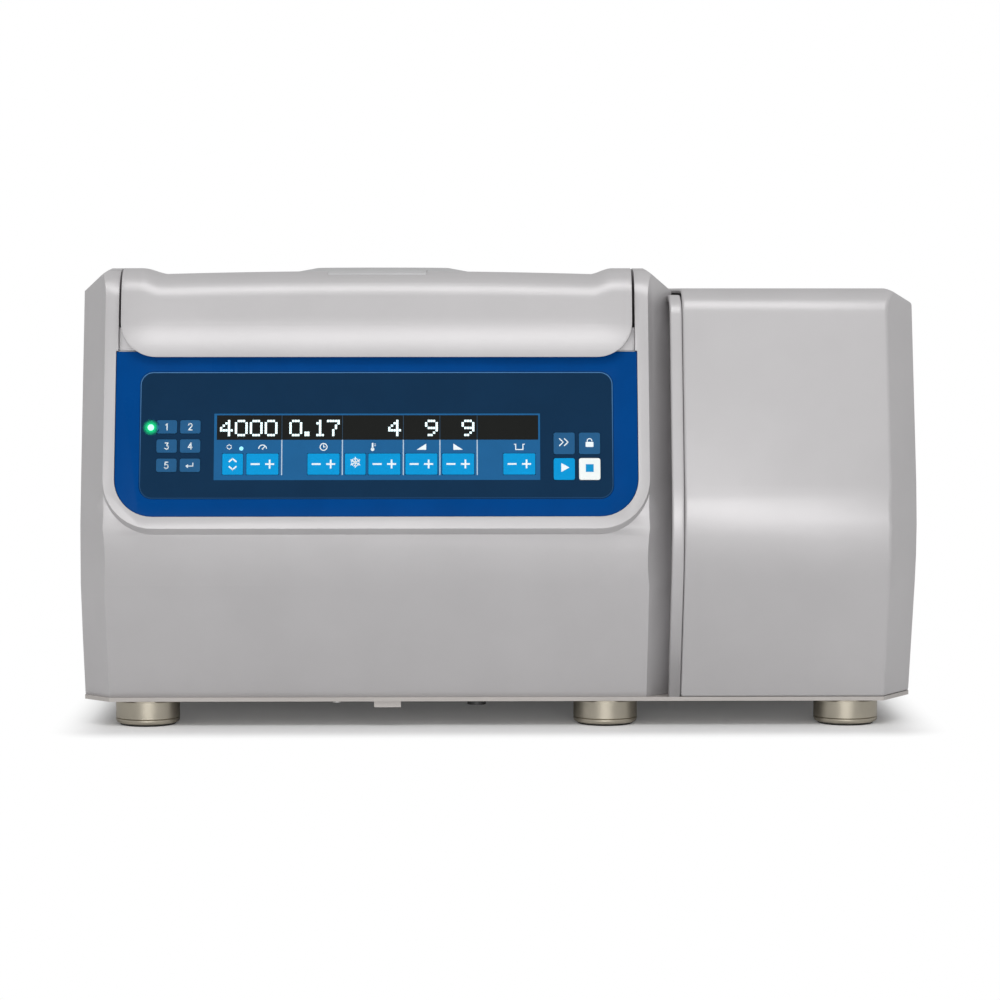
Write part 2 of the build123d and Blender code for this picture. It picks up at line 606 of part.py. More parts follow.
def rear_panel():
    """Steel rear panel with the condenser's grille and the holes for the electrics."""
    inset = CASING_WALL + ASSEMBLY_GAP
    low = BASE + ASSEMBLY_GAP
    panel = drive_form(DRIVE_SETBACK, inset, LID_TOP - inset, BACK + 10.0, low)
    panel += cooling_form(COOLING_LEFT, inset, BACK + 10.0, low)
    panel += block(SPLIT - 3 * inset, COOLING_LEFT + 1, 0, BACK, low, COOLING_TOP - inset)
    slab = block(LEFT, RIGHT, REAR_FACE - REAR_PANEL_THICKNESS, REAR_FACE, 0, CHEEK_TOP)
    panel = panel & slab
    half_slot = GRILLE_SLOT_LENGTH / 2
    start = FAN_Z - GRILLE_PITCH * (GRILLE_COUNT - 1) / 2
    for i in range(GRILLE_COUNT):
        z = start + i * GRILLE_PITCH
        panel -= block(FAN_X - half_slot, FAN_X + half_slot, 0, BACK,
                       z - GRILLE_SLOT_HEIGHT / 2, z + GRILLE_SLOT_HEIGHT / 2)
    panel -= block(INLET_X - 14, INLET_X + 14, 0, BACK, ELECTRIC_Z - 10, ELECTRIC_Z + 10)
    panel -= block(SWITCH_X - 10, SWITCH_X + 10, 0, BACK, ELECTRIC_Z - 14, ELECTRIC_Z + 14)
    return panel


def chamber_deck():
    """Plate round the bowl's mouth, under the lid, with a slot for each striker."""
    half = WELL_HALF - ASSEMBLY_GAP
    deck = block(MIDDLE - half, MIDDLE + half, SILL_BACK + ASSEMBLY_GAP, DECK_BACK,
                 DECK_TOP - DECK_THICKNESS, DECK_TOP)
    deck -= upright(MIDDLE, SPIN_Y, 0, CHEEK_TOP, DECK_HOLE_RADIUS)
    for side in (-1, 1):
        x = MIDDLE + side * LOCK_HALF_SPAN
        deck -= block(x - 12, x + 12, STRIKER_Y - 6, STRIKER_Y + 8, 0, CHEEK_TOP)
    return deck


# ---- Control panel ----
def control_bezel():
    """Coloured frame of the control panel with a stepped seat for the overlay."""
    patch = round_bottom_patch(BEZEL_HALF, BEZEL_BOTTOM, BEZEL_TOP, BEZEL_CORNER)
    frame = panel_solid(patch, BEZEL_SUNK, BEZEL_SUNK + BEZEL_THICKNESS)
    seat = rounded_patch(
        -OVERLAY_HALF - FIT_GAP, OVERLAY_HALF + FIT_GAP,
        OVERLAY_BOTTOM - FIT_GAP, OVERLAY_TOP + FIT_GAP, OVERLAY_CORNER + FIT_GAP,
    )
    frame -= panel_solid(seat, -1.0, OVERLAY_SUNK + OVERLAY_THICKNESS)
    hole = rounded_patch(
        -OVERLAY_HALF + OVERLAY_SEAT, OVERLAY_HALF - OVERLAY_SEAT,
        OVERLAY_BOTTOM + OVERLAY_SEAT, OVERLAY_TOP - OVERLAY_SEAT, OVERLAY_CORNER - OVERLAY_SEAT,
    )
    return frame - panel_solid(hole, -1.0, 2 * BEZEL_THICKNESS)


# Key centres and sizes in the panel plane: name, u, v, width, height. Across the panel they grow with
# the overlay, and one unit is a millimetre at its real width.
UNIT = OVERLAY_HALF / 174.0
PROGRAM_U = (-154.25 * UNIT, -137.0 * UNIT)
PROGRAM_V = (76.3, 61.9, 47.5)
PROGRAM_SIZE = (15.0 * UNIT, 10.0)
ACTION_U = (137.9 * UNIT, 156.6 * UNIT)
ACTION_V = (63.7, 44.5)
ACTION_SIZE = (15.6 * UNIT, 16.2)
TILE_V = 48.3
TILE_HEIGHT = 15.8
PUSH_TILE_WIDTH = 15.2 * UNIT
ROCKER_TILE_WIDTH = 23.5 * UNIT
PUSH_KEYS = [
    ("program_key_1", PROGRAM_U[0], PROGRAM_V[0], *PROGRAM_SIZE, KEY_CORNER),
    ("program_key_2", PROGRAM_U[1], PROGRAM_V[0], *PROGRAM_SIZE, KEY_CORNER),
    ("program_key_3", PROGRAM_U[0], PROGRAM_V[1], *PROGRAM_SIZE, KEY_CORNER),
    ("program_key_4", PROGRAM_U[1], PROGRAM_V[1], *PROGRAM_SIZE, KEY_CORNER),
    ("program_key_5", PROGRAM_U[0], PROGRAM_V[2], *PROGRAM_SIZE, KEY_CORNER),
    ("program_enter_key", PROGRAM_U[1], PROGRAM_V[2], *PROGRAM_SIZE, KEY_CORNER),
    ("speed_mode_key", -105.65 * UNIT, TILE_V, PUSH_TILE_WIDTH, TILE_HEIGHT, TILE_CORNER),
    ("precool_key", -15.65 * UNIT, TILE_V, PUSH_TILE_WIDTH, TILE_HEIGHT, TILE_CORNER),
    ("pulse_key", ACTION_U[0], ACTION_V[0], *ACTION_SIZE, KEY_CORNER),
    ("lid_open_key", ACTION_U[1], ACTION_V[0], *ACTION_SIZE, KEY_CORNER),
    ("start_key", ACTION_U[0], ACTION_V[1], *ACTION_SIZE, KEY_CORNER),
    ("stop_key", ACTION_U[1], ACTION_V[1], *ACTION_SIZE, KEY_CORNER),
]
ROCKER_PLACES = [
    ("speed_rocker", -83.8), ("time_rocker", -39.0), ("temperature_rocker", 5.7),
    ("acceleration_rocker", 32.9), ("deceleration_rocker", 59.9), ("bucket_rocker", 104.85),
]
ROCKING_KEYS = [
    (name, u * UNIT, TILE_V, ROCKER_TILE_WIDTH, TILE_HEIGHT, TILE_CORNER) for name, u in ROCKER_PLACES
]
ROCKER_STEM_SHARE = 0.3


def key_patch(key, gap=0.0):
    """A key's rounded rectangle in the panel plane, grown by a gap."""
    name, u, v, width, height, corner = key
    return Pos(u, v) * RectangleRounded(width + 2 * gap, height + 2 * gap, corner + gap)


def control_overlay():
    """Dark front plate with one opening for each key."""
    patch = rounded_patch(-OVERLAY_HALF, OVERLAY_HALF, OVERLAY_BOTTOM, OVERLAY_TOP, OVERLAY_CORNER)
    plate = panel_solid(patch, OVERLAY_SUNK, OVERLAY_SUNK + OVERLAY_THICKNESS)
    for key in PUSH_KEYS + ROCKING_KEYS:
        plate -= panel_solid(key_patch(key, FIT_GAP), -1.0, 2 * BEZEL_THICKNESS)
    return plate


def key_cap(key, stem_offsets):
    """One key: a flush cap with its stems reaching back to the switches."""
    name, u, v = key[:3]
    cap_back = OVERLAY_SUNK + OVERLAY_THICKNESS
    cap = panel_solid(key_patch(key), OVERLAY_SUNK - KEY_PROUD, cap_back)
    for offset in stem_offsets:
        stem = Pos(u + offset, v) * Circle(KEY_STEM_RADIUS)
        cap += panel_solid(stem, cap_back - 0.5, SWITCH_DEPTH - SWITCH_GAP)
    return cap


def control_board():
    """Circuit board behind the panel, with a switch under each stem, on pillars from the bezel."""
    margin = OVERLAY_SEAT + 4.0
    patch = rounded_patch(
        -OVERLAY_HALF + margin, OVERLAY_HALF - margin, OVERLAY_BOTTOM + margin, OVERLAY_TOP - margin, 3.0
    )
    board = panel_solid(patch, BOARD_DEPTH, BOARD_DEPTH + BOARD_THICKNESS)
    for key in PUSH_KEYS:
        switch = Pos(key[1], key[2]) * Rectangle(6.0, 6.0)
        board += panel_solid(switch, SWITCH_DEPTH, BOARD_DEPTH + 0.1)
    for key in ROCKING_KEYS:
        for side in (-1, 1):
            switch = Pos(key[1] + side * ROCKER_STEM_SHARE * key[3], key[2]) * Rectangle(6.0, 6.0)
            board += panel_solid(switch, SWITCH_DEPTH, BOARD_DEPTH + 0.1)
    overlay_back = OVERLAY_SUNK + OVERLAY_THICKNESS
    for u in (-120.0 * UNIT, 0.0, 120.0 * UNIT):
        pillar = Pos(u, OVERLAY_TOP - 2 * margin) * Circle(3.0)
        board += panel_solid(pillar, overlay_back, BOARD_DEPTH + 0.1)
        pillar = Pos(u, OVERLAY_BOTTOM + margin + 4.0) * Circle(3.0)
        board += panel_solid(pillar, overlay_back, BOARD_DEPTH + 0.1)
    return board


# ---- Chamber ----
LINE_RADIUS = 5.0
LIQUID_LINE_RADIUS = 3.2
HOT_LINE_RADIUS = 4.0
LINE_BEND = 16.0
HOT_LINE_RISE = 24.75        # level run above the condenser
LIQUID_LINE_BEND = 8.0
LIQUID_LINE_X = SPLIT + ASSEMBLY_GAP + BULKHEAD_THICKNESS + 4.6
FITTING_SETBACK = 6.0
LINE_Y = (-12.0, 12.0)
LINE_Z = (COIL_FIRST, COIL_FIRST + COIL_PITCH)


def line_holes(x0, x1):
    """Clearance for the two refrigerant lines that leave the chamber to the right."""
    holes = [rod_x(x0, x1, SPIN_Y + y, z, LINE_RADIUS + 2.0) for y, z in zip(LINE_Y, LINE_Z)]
    return holes[0] + holes[1]


def chamber_bowl():
    """Spun stainless bowl, hung in the deck by its flange, with a collar for the drive."""
    inner = BOWL_RADIUS
    outer = BOWL_RADIUS + BOWL_WALL
    low = BOWL_FLOOR - BOWL_WALL
    neck = BOWL_NECK_RADIUS
    collar_top = BOWL_FLOOR + 10.0
    solid = spun([(0, low), (outer, low), (outer, DECK_TOP), (BOWL_FLANGE_RADIUS, DECK_TOP),
                  (BOWL_FLANGE_RADIUS, BOWL_FLANGE_TOP), (0, BOWL_FLANGE_TOP)])
    bottom_edge = solid.edges().filter_by(GeomType.CIRCLE).group_by(Axis.Z)[0]
    solid = fillet(bottom_edge, BOWL_CORNER + BOWL_WALL)
    hollow = spun([(0, BOWL_FLOOR), (inner, BOWL_FLOOR), (inner, CHEEK_TOP), (0, CHEEK_TOP)])
    bottom_edge = hollow.edges().filter_by(GeomType.CIRCLE).group_by(Axis.Z)[0]
    hollow = fillet(bottom_edge, BOWL_CORNER)
    bowl = solid - hollow
    bowl += spun([(neck, low), (neck + BOWL_WALL, low), (neck + BOWL_WALL, collar_top), (neck, collar_top)])
    return bowl - upright(MIDDLE, SPIN_Y, 0, CHEEK_TOP, neck)


def chamber_foam():
    """Insulating cup between the bowl and the guard ring."""
    outer = GUARD_OUTER - GUARD_WALL - ASSEMBLY_GAP
    top = DECK_TOP - DECK_THICKNESS - ASSEMBLY_GAP
    floor_top = FOAM_FLOOR + FOAM_FLOOR_THICKNESS
    foam = spun([
        (FOAM_NECK_RADIUS, FOAM_FLOOR), (outer, FOAM_FLOOR), (outer, top), (FOAM_INNER, top),
        (FOAM_INNER, floor_top), (FOAM_NECK_RADIUS, floor_top),
    ])
    return foam - line_holes(MIDDLE + FOAM_INNER - 20.0, SPLIT + 1)


def guard_ring():
    """Heavy steel ring that stands on the tray and carries the deck."""
    inner = GUARD_OUTER - GUARD_WALL
    top = DECK_TOP - DECK_THICKNESS
    ring = spun([(inner, BASE), (GUARD_OUTER, BASE), (GUARD_OUTER, top), (inner, top)])
    shelf_top = FOAM_FLOOR
    ring += spun([
        (inner - 10.0, shelf_top - 3.0), (inner + 1, shelf_top - 3.0), (inner + 1, shelf_top),
        (inner - 10.0, shelf_top),
    ])
    return ring - line_holes(MIDDLE + inner - 10.0, SPLIT + 1)


def chamber_seal():
    """Rubber lip seal round the bowl's mouth."""
    low = BOWL_FLANGE_TOP
    high = LID_BOTTOM - SEATING_GAP
    return spun([
        (SEAL_INNER, low), (SEAL_OUTER, low), (SEAL_OUTER, low + 5.0), (SEAL_INNER + 6.5, low + 6.5),
        (SEAL_INNER + 5.0, high), (SEAL_INNER + 1.5, high), (SEAL_INNER, low + 6.0),
    ])


def refrigerant_lines():
    """Cold coil round the bowl and the copper lines between the chamber and the cooling unit."""
    coil_radius = BOWL_RADIUS + BOWL_WALL + 0.15 + COIL_TUBE_RADIUS
    pieces = [
        Pos(MIDDLE, SPIN_Y, COIL_FIRST + i * COIL_PITCH) * Torus(coil_radius, COIL_TUBE_RADIUS)
        for i in range(COIL_TURNS)
    ]
    suction = [
        (MIDDLE + coil_radius + COIL_TUBE_RADIUS + 0.4, SPIN_Y + LINE_Y[0], LINE_Z[0]),
        (COMPRESSOR_X - COMPRESSOR_RADIUS - 0.3, SPIN_Y + LINE_Y[0], LINE_Z[0]),
    ]
    liquid = [
        (MIDDLE + coil_radius + COIL_TUBE_RADIUS + 0.4, SPIN_Y + LINE_Y[1], LINE_Z[1]),
        (LIQUID_LINE_X, SPIN_Y + LINE_Y[1], LINE_Z[1]),
        (LIQUID_LINE_X, CONDENSER_FRONT + FITTING_SETBACK - SEATING_GAP, LINE_Z[1]),
    ]
    run_z = FAN_Z + SHROUD_HALF + HOT_LINE_RISE
    hot = [
        (COMPRESSOR_X, COMPRESSOR_Y, COMPRESSOR_TOP + 0.3),
        (COMPRESSOR_X, COMPRESSOR_Y, run_z),
        (COMPRESSOR_X, CONDENSER_FRONT + CONDENSER_DEPTH / 2, run_z),
        (COMPRESSOR_X, CONDENSER_FRONT + CONDENSER_DEPTH / 2, FAN_Z + SHROUD_HALF + 0.3),
    ]
    pieces.append(pipe(suction, LINE_RADIUS, 0.0))
    pieces.append(pipe(liquid, LIQUID_LINE_RADIUS, LIQUID_LINE_BEND))
    pieces.append(pipe(hot, HOT_LINE_RADIUS, LINE_BEND))
    return pieces


def pipe(points, radius, bend):
    """Round tube along straight runs joined by arcs of one bend radius."""
    path = FilletPolyline(*points, radius=bend) if bend else Line(*points)
    start = path @ 0
    profile = Plane(start, z_dir=path % 0) * Circle(radius)
    return sweep(profile, path=path)


# ---- Drive and rotor ----
def drive_motor():
    """Motor can with a flange for its mounts and a neck that reaches into the bowl."""
    bore = SHAFT_RADIUS + RUNNING_CLEARANCE
    flange_low = BASE + MOUNT_HEIGHT
    flange_high = flange_low + MOTOR_FLANGE_THICKNESS
    return spun([
        (0, MOTOR_BOTTOM), (MOTOR_RADIUS, MOTOR_BOTTOM), (MOTOR_RADIUS, flange_low),
        (MOTOR_FLANGE_RADIUS, flange_low), (MOTOR_FLANGE_RADIUS, flange_high),
        (MOTOR_RADIUS, flange_high), (MOTOR_RADIUS, MOTOR_TOP), (MOTOR_NECK_RADIUS + 6, MOTOR_TOP),
        (MOTOR_NECK_RADIUS, MOTOR_TOP + 8), (MOTOR_NECK_RADIUS, MOTOR_NECK_TOP - 4),
        (MOTOR_NECK_RADIUS - 4, MOTOR_NECK_TOP), (bore, MOTOR_NECK_TOP),
        (bore, MOTOR_BOTTOM + 12.0), (0, MOTOR_BOTTOM + 12.0),
    ])


def motor_mounts():
    """Rubber bobbins that carry the motor's flange."""
    bobbin = Pos(MOUNT_CIRCLE_RADIUS, 0, BASE + MOUNT_HEIGHT / 2) * Cylinder(MOUNT_RADIUS, MOUNT_HEIGHT)
    groove = Pos(MOUNT_CIRCLE_RADIUS, 0, BASE + MOUNT_HEIGHT / 2) * Torus(MOUNT_RADIUS, 2.0)
    return around(bobbin - groove, 4, first=45.0)


def drive_shaft():
    """Shaft from the motor up into the rotor's hub."""
    shaft = upright(MIDDLE, SPIN_Y, MOTOR_BOTTOM + 12.0 + SEATING_GAP, SHAFT_TOP, SHAFT_RADIUS)
    top_edge = shaft.edges().group_by(Axis.Z)[-1]
    return chamfer(top_edge, 1.5)


def rotor_head():
    """Bowl-shaped rotor with a central hub and a threaded post for the rotor lid."""
    floor_top = ROTOR_FLOOR + ROTOR_FLOOR_THICKNESS
    bore = SHAFT_RADIUS + RUNNING_CLEARANCE
    inner = ROTOR_RADIUS - ROTOR_WALL
    solid = spun([(0, ROTOR_FLOOR), (ROTOR_RADIUS, ROTOR_FLOOR), (ROTOR_RADIUS, ROTOR_TOP), (0, ROTOR_TOP)])
    solid = fillet(solid.edges().filter_by(GeomType.CIRCLE).group_by(Axis.Z)[0], ROTOR_CORNER)
    hollow = spun([(HUB_RADIUS, floor_top), (inner, floor_top), (inner, CHEEK_TOP), (HUB_RADIUS, CHEEK_TOP)])
    outer_floor_edge = hollow.edges().filter_by(GeomType.CIRCLE).group_by(Axis.Z)[0].sort_by(
        SortBy.RADIUS)[-1]
    hollow = fillet(outer_floor_edge, ROTOR_CORNER - ROTOR_WALL)
    head = solid - hollow
    post_low = SHAFT_TOP + 3.0
    head += upright(MIDDLE, SPIN_Y, ROTOR_TOP - 1.0, ROTOR_TOP + HUB_POST_HEIGHT, HUB_POST_RADIUS)
    return head - upright(MIDDLE, SPIN_Y, 0, post_low, bore)


def slide_carriers():
    """Stainless clips that stand round the rotor, each bent to hold one slide."""
    low = ROTOR_FLOOR + ROTOR_FLOOR_THICKNESS
    high = ROTOR_TOP - 1.0
    half = CARRIER_WIDTH / 2
    back = CARRIER_RADIUS + CARRIER_PLATE
    clip = block(CARRIER_RADIUS, back, -half, half, low, high)
    clip += block(CARRIER_RADIUS - 9.0, back, -half, -half + CARRIER_PLATE, low + 8.0, high - 20.0)
    clip += block(CARRIER_RADIUS - 9.0, back, half - CARRIER_PLATE, half, low + 8.0, high - 20.0)
    clip += block(CARRIER_RADIUS - 10.0, back, -6.0, 6.0, high - CARRIER_PLATE, high)
    return around(clip, STATION_COUNT)


def sample_chambers():
    """Capped funnels that each press on one carrier's slide."""
    low = ROTOR_FLOOR + ROTOR_FLOOR_THICKNESS + 12.0
    front = CARRIER_RADIUS - 0.2
    half = CHAMBER_WIDTH / 2
    body = block(front - CHAMBER_DEPTH, front, -half, half, low, low + CHAMBER_HEIGHT)
    axis_x = front - CHAMBER_DEPTH - FUNNEL_RADIUS + 4.0
    body += upright(axis_x, 0, low + 8.0, low + 48.0, FUNNEL_RADIUS)
    body += upright(axis_x, 0, low + 48.0, low + 54.0, FUNNEL_RADIUS + 1.8)
    return around(body, STATION_COUNT)


def rotor_lid():
    """Domed rotor cover with a grip knob over the hub's post."""
    low = ROTOR_TOP + SEATING_GAP
    top = low + ROTOR_LID_THICKNESS
    dome = top + ROTOR_LID_DOME
    rim = ROTOR_RADIUS - 0.5
    knob_top = dome + KNOB_HEIGHT
    post = HUB_POST_RADIUS + FIT_GAP
    post_top = ROTOR_TOP + HUB_POST_HEIGHT + 1.0
    lid = spun([
        (post, low), (rim, low), (rim, top), (ROTOR_RADIUS * 0.72, dome), (KNOB_RADIUS - 3.0, dome),
        (KNOB_RADIUS, dome + 4.0), (KNOB_RADIUS, knob_top - 2.5), (KNOB_RADIUS - 2.5, knob_top),
        (0, knob_top), (0, post_top), (post, post_top),
    ])
    groove = Pos(KNOB_RADIUS + 1.6, 0, dome + KNOB_HEIGHT / 2 + 3.0) * Cylinder(2.6, KNOB_HEIGHT)
    for cut in around(groove, 10):
        lid -= cut
    return lid


# ---- Lid ----
def lid_side_face(inset, low, drop=0.0):
    """Lid seen from the side, in (y, z): convex nose that leans back, flat top and round rear end."""
    belly = LID_BELLY_RADIUS - inset
    centre_y = front_y(LID_BELLY_TOP) - LID_PROUD + LID_BELLY_RADIUS * math.cos(UPPER)
    centre_z = LID_BELLY_TOP - LID_BELLY_RADIUS * math.sin(UPPER)
    radius = LID_END_RADIUS - inset - drop
    top = HINGE_Z + radius
    sink = math.asin((HINGE_Z - low) / radius)

    def on_belly(turn):
        return (centre_y - belly * math.cos(turn), centre_z + belly * math.sin(turn))

    start = math.asin((low - centre_z) / belly)
    bend = on_belly(UPPER)
    corner_y = bend[0] + (top - bend[1]) * math.tan(UPPER)
    end = (HINGE_Y + radius * math.cos(sink), low)
    face = make_face([
        ThreePointArc(on_belly(start), on_belly((start + UPPER) / 2), bend),
        Line(bend, (corner_y, top)),
        Line((corner_y, top), (HINGE_Y, top)),
        ThreePointArc(
            (HINGE_Y, top),
            (HINGE_Y + radius * math.cos(math.pi / 6), HINGE_Z + radius * math.sin(math.pi / 6)),
            end,
        ),
        Line(end, on_belly(start)),
    ])
    corner = face.vertices().sort_by_distance(Vector(corner_y, top, 0))[0]
    return fillet(corner, LID_NOSE_ROUND - inset)


def lid_lip_front():
    """Y of the lip's front at its lower edge."""
    centre_y = front_y(LID_BELLY_TOP) - LID_PROUD + LID_BELLY_RADIUS * math.cos(UPPER)
    rise = LID_LIP_BOTTOM - LID_BELLY_TOP + LID_BELLY_RADIUS * math.sin(UPPER)
    return centre_y - math.sqrt(LID_BELLY_RADIUS ** 2 - rise ** 2)


def nose_corner_cut(half, low, radius):
    """Takes the two lower front corners of the nose off to a radius, as seen from the front."""
    cuts = []
    back = SILL_BACK + 2.5
    for side in (-1, 1):
        x_edge = MIDDLE + side * half
        x_centre = x_edge - side * radius
        square = block(min(x_centre, x_edge + side), max(x_centre, x_edge + side),
                       FRONT - 20.0, back, low - 5.0, low + radius)
        cuts.append(square - rod_y(x_centre, FRONT - 30.0, back + 10.0, low + radius, radius))
    return cuts[0] + cuts[1]


def lid_outer():
    """The lid's outer form: two raised ends, a lower middle with sloped flanks, and the lip."""
    high = lid_side_face(0.0, LID_LIP_BOTTOM)
    low = lid_side_face(0.0, LID_LIP_BOTTOM, LID_SCOOP)
    band = LID_HALF - LID_END_BAND
    foot_half = band - LID_SCOOP_FLANK
    stations = [(-LID_HALF, high), (-band, high), (-foot_half, low),
                (foot_half, low), (band, high), (LID_HALF, high)]
    form = loft([
        Plane((MIDDLE + offset, 0, 0), x_dir=(0, 1, 0), z_dir=(1, 0, 0)) * face for offset, face in stations
    ], ruled=True)
    lip_back = lid_lip_front() + LID_LIP_THICKNESS
    form -= block(MIDDLE - LID_HALF - 1, MIDDLE + LID_HALF + 1, lip_back, BACK,
                  LID_LIP_BOTTOM - 1.0, LID_BOTTOM)
    return form - nose_corner_cut(LID_HALF, LID_LIP_BOTTOM, LID_CORNER_ROUND)


def hollow_corner_bar(x_edge, side, low, leg):
    """Triangular bar along y in a lower front corner of the lid's hollow."""
    face = make_face(Polyline((side, -1), (-side * (leg + 1), -1), (side, leg + 1), close=True))
    start = Plane((x_edge, SILL_BACK + 2.5, low), x_dir=(1, 0, 0), z_dir=(0, -1, 0))
    return extrude(start * face, amount=SILL_BACK - FRONT + 30.0)


SLOT_FRONT = SILL_BACK - LEDGE_THICKNESS - 2.0
SLOT_BACK = SILL_BACK + 2.5
SLOT_TOP = SILL_TOP + 1.5


def lid_shell():
    """Lid cover: hollow shell, open below, with a slot that closes over the sill."""
    low = LID_BOTTOM + LID_WALL
    wall = LID_SCOOP + LID_WALL
    half = LID_HALF - LID_WALL
    hollow = across(lid_side_face(wall, low), MIDDLE - half, MIDDLE + half)
    for side in (-1, 1):
        hollow -= hollow_corner_bar(MIDDLE + side * half, side, low, LID_CORNER_ROUND - LID_WALL)
    hollow -= block(MIDDLE - LID_HALF, MIDDLE + LID_HALF, SLOT_FRONT - LID_WALL, SLOT_BACK + LID_WALL,
                    LID_LIP_BOTTOM, SLOT_TOP + LID_WALL)
    shell = lid_outer() - hollow
    shell -= block(MIDDLE - half, MIDDLE + half, SLOT_BACK + LID_WALL, HINGE_Y + 24.0,
                   LID_LIP_BOTTOM, low + 1.0)
    shell -= block(MIDDLE - LID_HALF - 1, MIDDLE + LID_HALF + 1, SLOT_FRONT, SLOT_BACK,
                   LID_LIP_BOTTOM - 1.0, SLOT_TOP)
    shell -= upright(MIDDLE, SPIN_Y, LID_TOP - 2 * wall, CHEEK_TOP + 1.0, PORT_WINDOW_RADIUS + 3.0)
    for side in (-1, 1):
        x = MIDDLE + side * (LID_HALF - LID_WALL / 2)
        shell -= rod_x(x - 4, x + 4, HINGE_Y, HINGE_Z, PIN_RADIUS + 1.0)
    return shell


def lid_liner():
    """Plate that closes the lid from below and meets the chamber seal."""
    gap = FIT_GAP
    half = LID_HALF - LID_WALL - gap
    liner = block(MIDDLE - half, MIDDLE + half, SLOT_BACK + LID_WALL + gap, HINGE_Y + 24.0 - gap,
                  LID_BOTTOM, LID_BOTTOM + LINER_THICKNESS)
    liner += spun([
        (PORT_WINDOW_RADIUS + 1.0, LID_BOTTOM + LINER_THICKNESS - 0.5),
        (PORT_WINDOW_RADIUS + 3.0 - gap, LID_BOTTOM + LINER_THICKNESS - 0.5),
        (PORT_WINDOW_RADIUS + 3.0 - gap, LID_TOP - 2.0),
        (PORT_WINDOW_RADIUS + 1.0, LID_TOP - 2.0),
    ])
    return liner - upright(MIDDLE, SPIN_Y, 0, CHEEK_TOP, PORT_WINDOW_RADIUS + 1.0)


def port_window():
    """Round viewing port: a low ring with a clear pane, and a tongue that runs forward from it."""
    pane = PORT_WINDOW_RADIUS + 1.0 - FIT_GAP
    seat = LID_TOP + PORT_SEAT
    high = LID_TOP + PORT_HEIGHT
    ring = spun([
        (0, LID_TOP - 2.0), (pane, LID_TOP - 2.0), (pane, seat), (PORT_RADIUS, seat),
        (PORT_RADIUS, LID_TOP + PORT_EDGE), (PORT_RADIUS - PORT_SLOPE, high),
        (pane + 3.0, high), (pane, LID_TOP + 1.0), (0, LID_TOP + 1.0),
    ])
    half = TONGUE_WIDTH / 2
    over = lid_side_face(-TONGUE_THICKNESS, LID_LIP_BOTTOM, LID_SCOOP)
    under = lid_side_face(-PORT_SEAT, LID_LIP_BOTTOM, LID_SCOOP)
    tongue = across(over, MIDDLE - half, MIDDLE + half)
    tongue -= across(under, MIDDLE - half - 1, MIDDLE + half + 1)
    front = lid_lip_front() + TONGUE_SETBACK
    back = SPIN_Y - PORT_RADIUS + PORT_SLOPE
    return ring + (tongue & block(MIDDLE - half, MIDDLE + half, front, back, LID_BELLY_TOP, high))


def hinge_arm(side):
    """Steel arm in the lid with the boss that turns on the hinge pin."""
    x0 = MIDDLE + side * (LID_HALF - LID_WALL - 2.0)
    x1 = x0 - side * ARM_THICKNESS
    left, right = min(x0, x1), max(x0, x1)
    low = LID_BOTTOM + LINER_THICKNESS
    arm = block(left, right, HINGE_Y - ARM_LENGTH, HINGE_Y, low, low + ARM_HEIGHT)
    arm += rod_x(left, right, HINGE_Y, HINGE_Z, HINGE_Z - low)
    return arm - rod_x(left - 1, right + 1, HINGE_Y, HINGE_Z, PIN_RADIUS + RUNNING_CLEARANCE)


def hinge_bracket(side):
    """Steel plate behind each cheek that carries the hinge pin."""
    x0 = MIDDLE + side * (WELL_HALF + WELL_WALL)
    x1 = x0 + side * BRACKET_THICKNESS
    left, right = min(x0, x1), max(x0, x1)
    plate = block(left, right, HINGE_Y - 26.0, HINGE_Y + 26.0, DECK_TOP - 12.0, HINGE_Z + 16.0)
    return plate - rod_x(left - 1, right + 1, HINGE_Y, HINGE_Z, PIN_RADIUS + 0.02)


PIN_INNER = LID_HALF - 30.0


def hinge_pin(side):
    """Headed stub pin from the bracket through the cheek into the lid."""
    head = MIDDLE + side * (WELL_HALF + WELL_WALL + BRACKET_THICKNESS)
    tip = MIDDLE + side * PIN_INNER
    end = head + side * BRACKET_THICKNESS
    pin = rod_x(min(tip, head), max(tip, head), HINGE_Y, HINGE_Z, PIN_RADIUS)
    return pin + rod_x(min(head, end), max(head, end), HINGE_Y, HINGE_Z, PIN_RADIUS + 3.0)


def torsion_spring(side):
    """Close-wound spring on the pin beside each arm, drawn as one ribbed sleeve."""
    turns = 5
    inner = PIN_RADIUS + FIT_GAP
    centre = inner + SPRING_WIRE / 2
    start = PIN_INNER + 1.0
    edges = [Line((start, inner), (start, centre))]
    for i in range(turns):
        x = start + i * SPRING_WIRE
        edges.append(ThreePointArc(
            (x, centre), (x + SPRING_WIRE / 2, centre + SPRING_WIRE / 2), (x + SPRING_WIRE, centre)
        ))
    end = start + turns * SPRING_WIRE
    edges += [Line((end, centre), (end, inner)), Line((end, inner), (start, inner))]
    coil = revolve(make_face(edges), Axis.X)
    coil = Pos(MIDDLE, HINGE_Y, HINGE_Z) * coil
    return coil if side > 0 else mirror(coil, about=Plane.YZ.offset(MIDDLE))


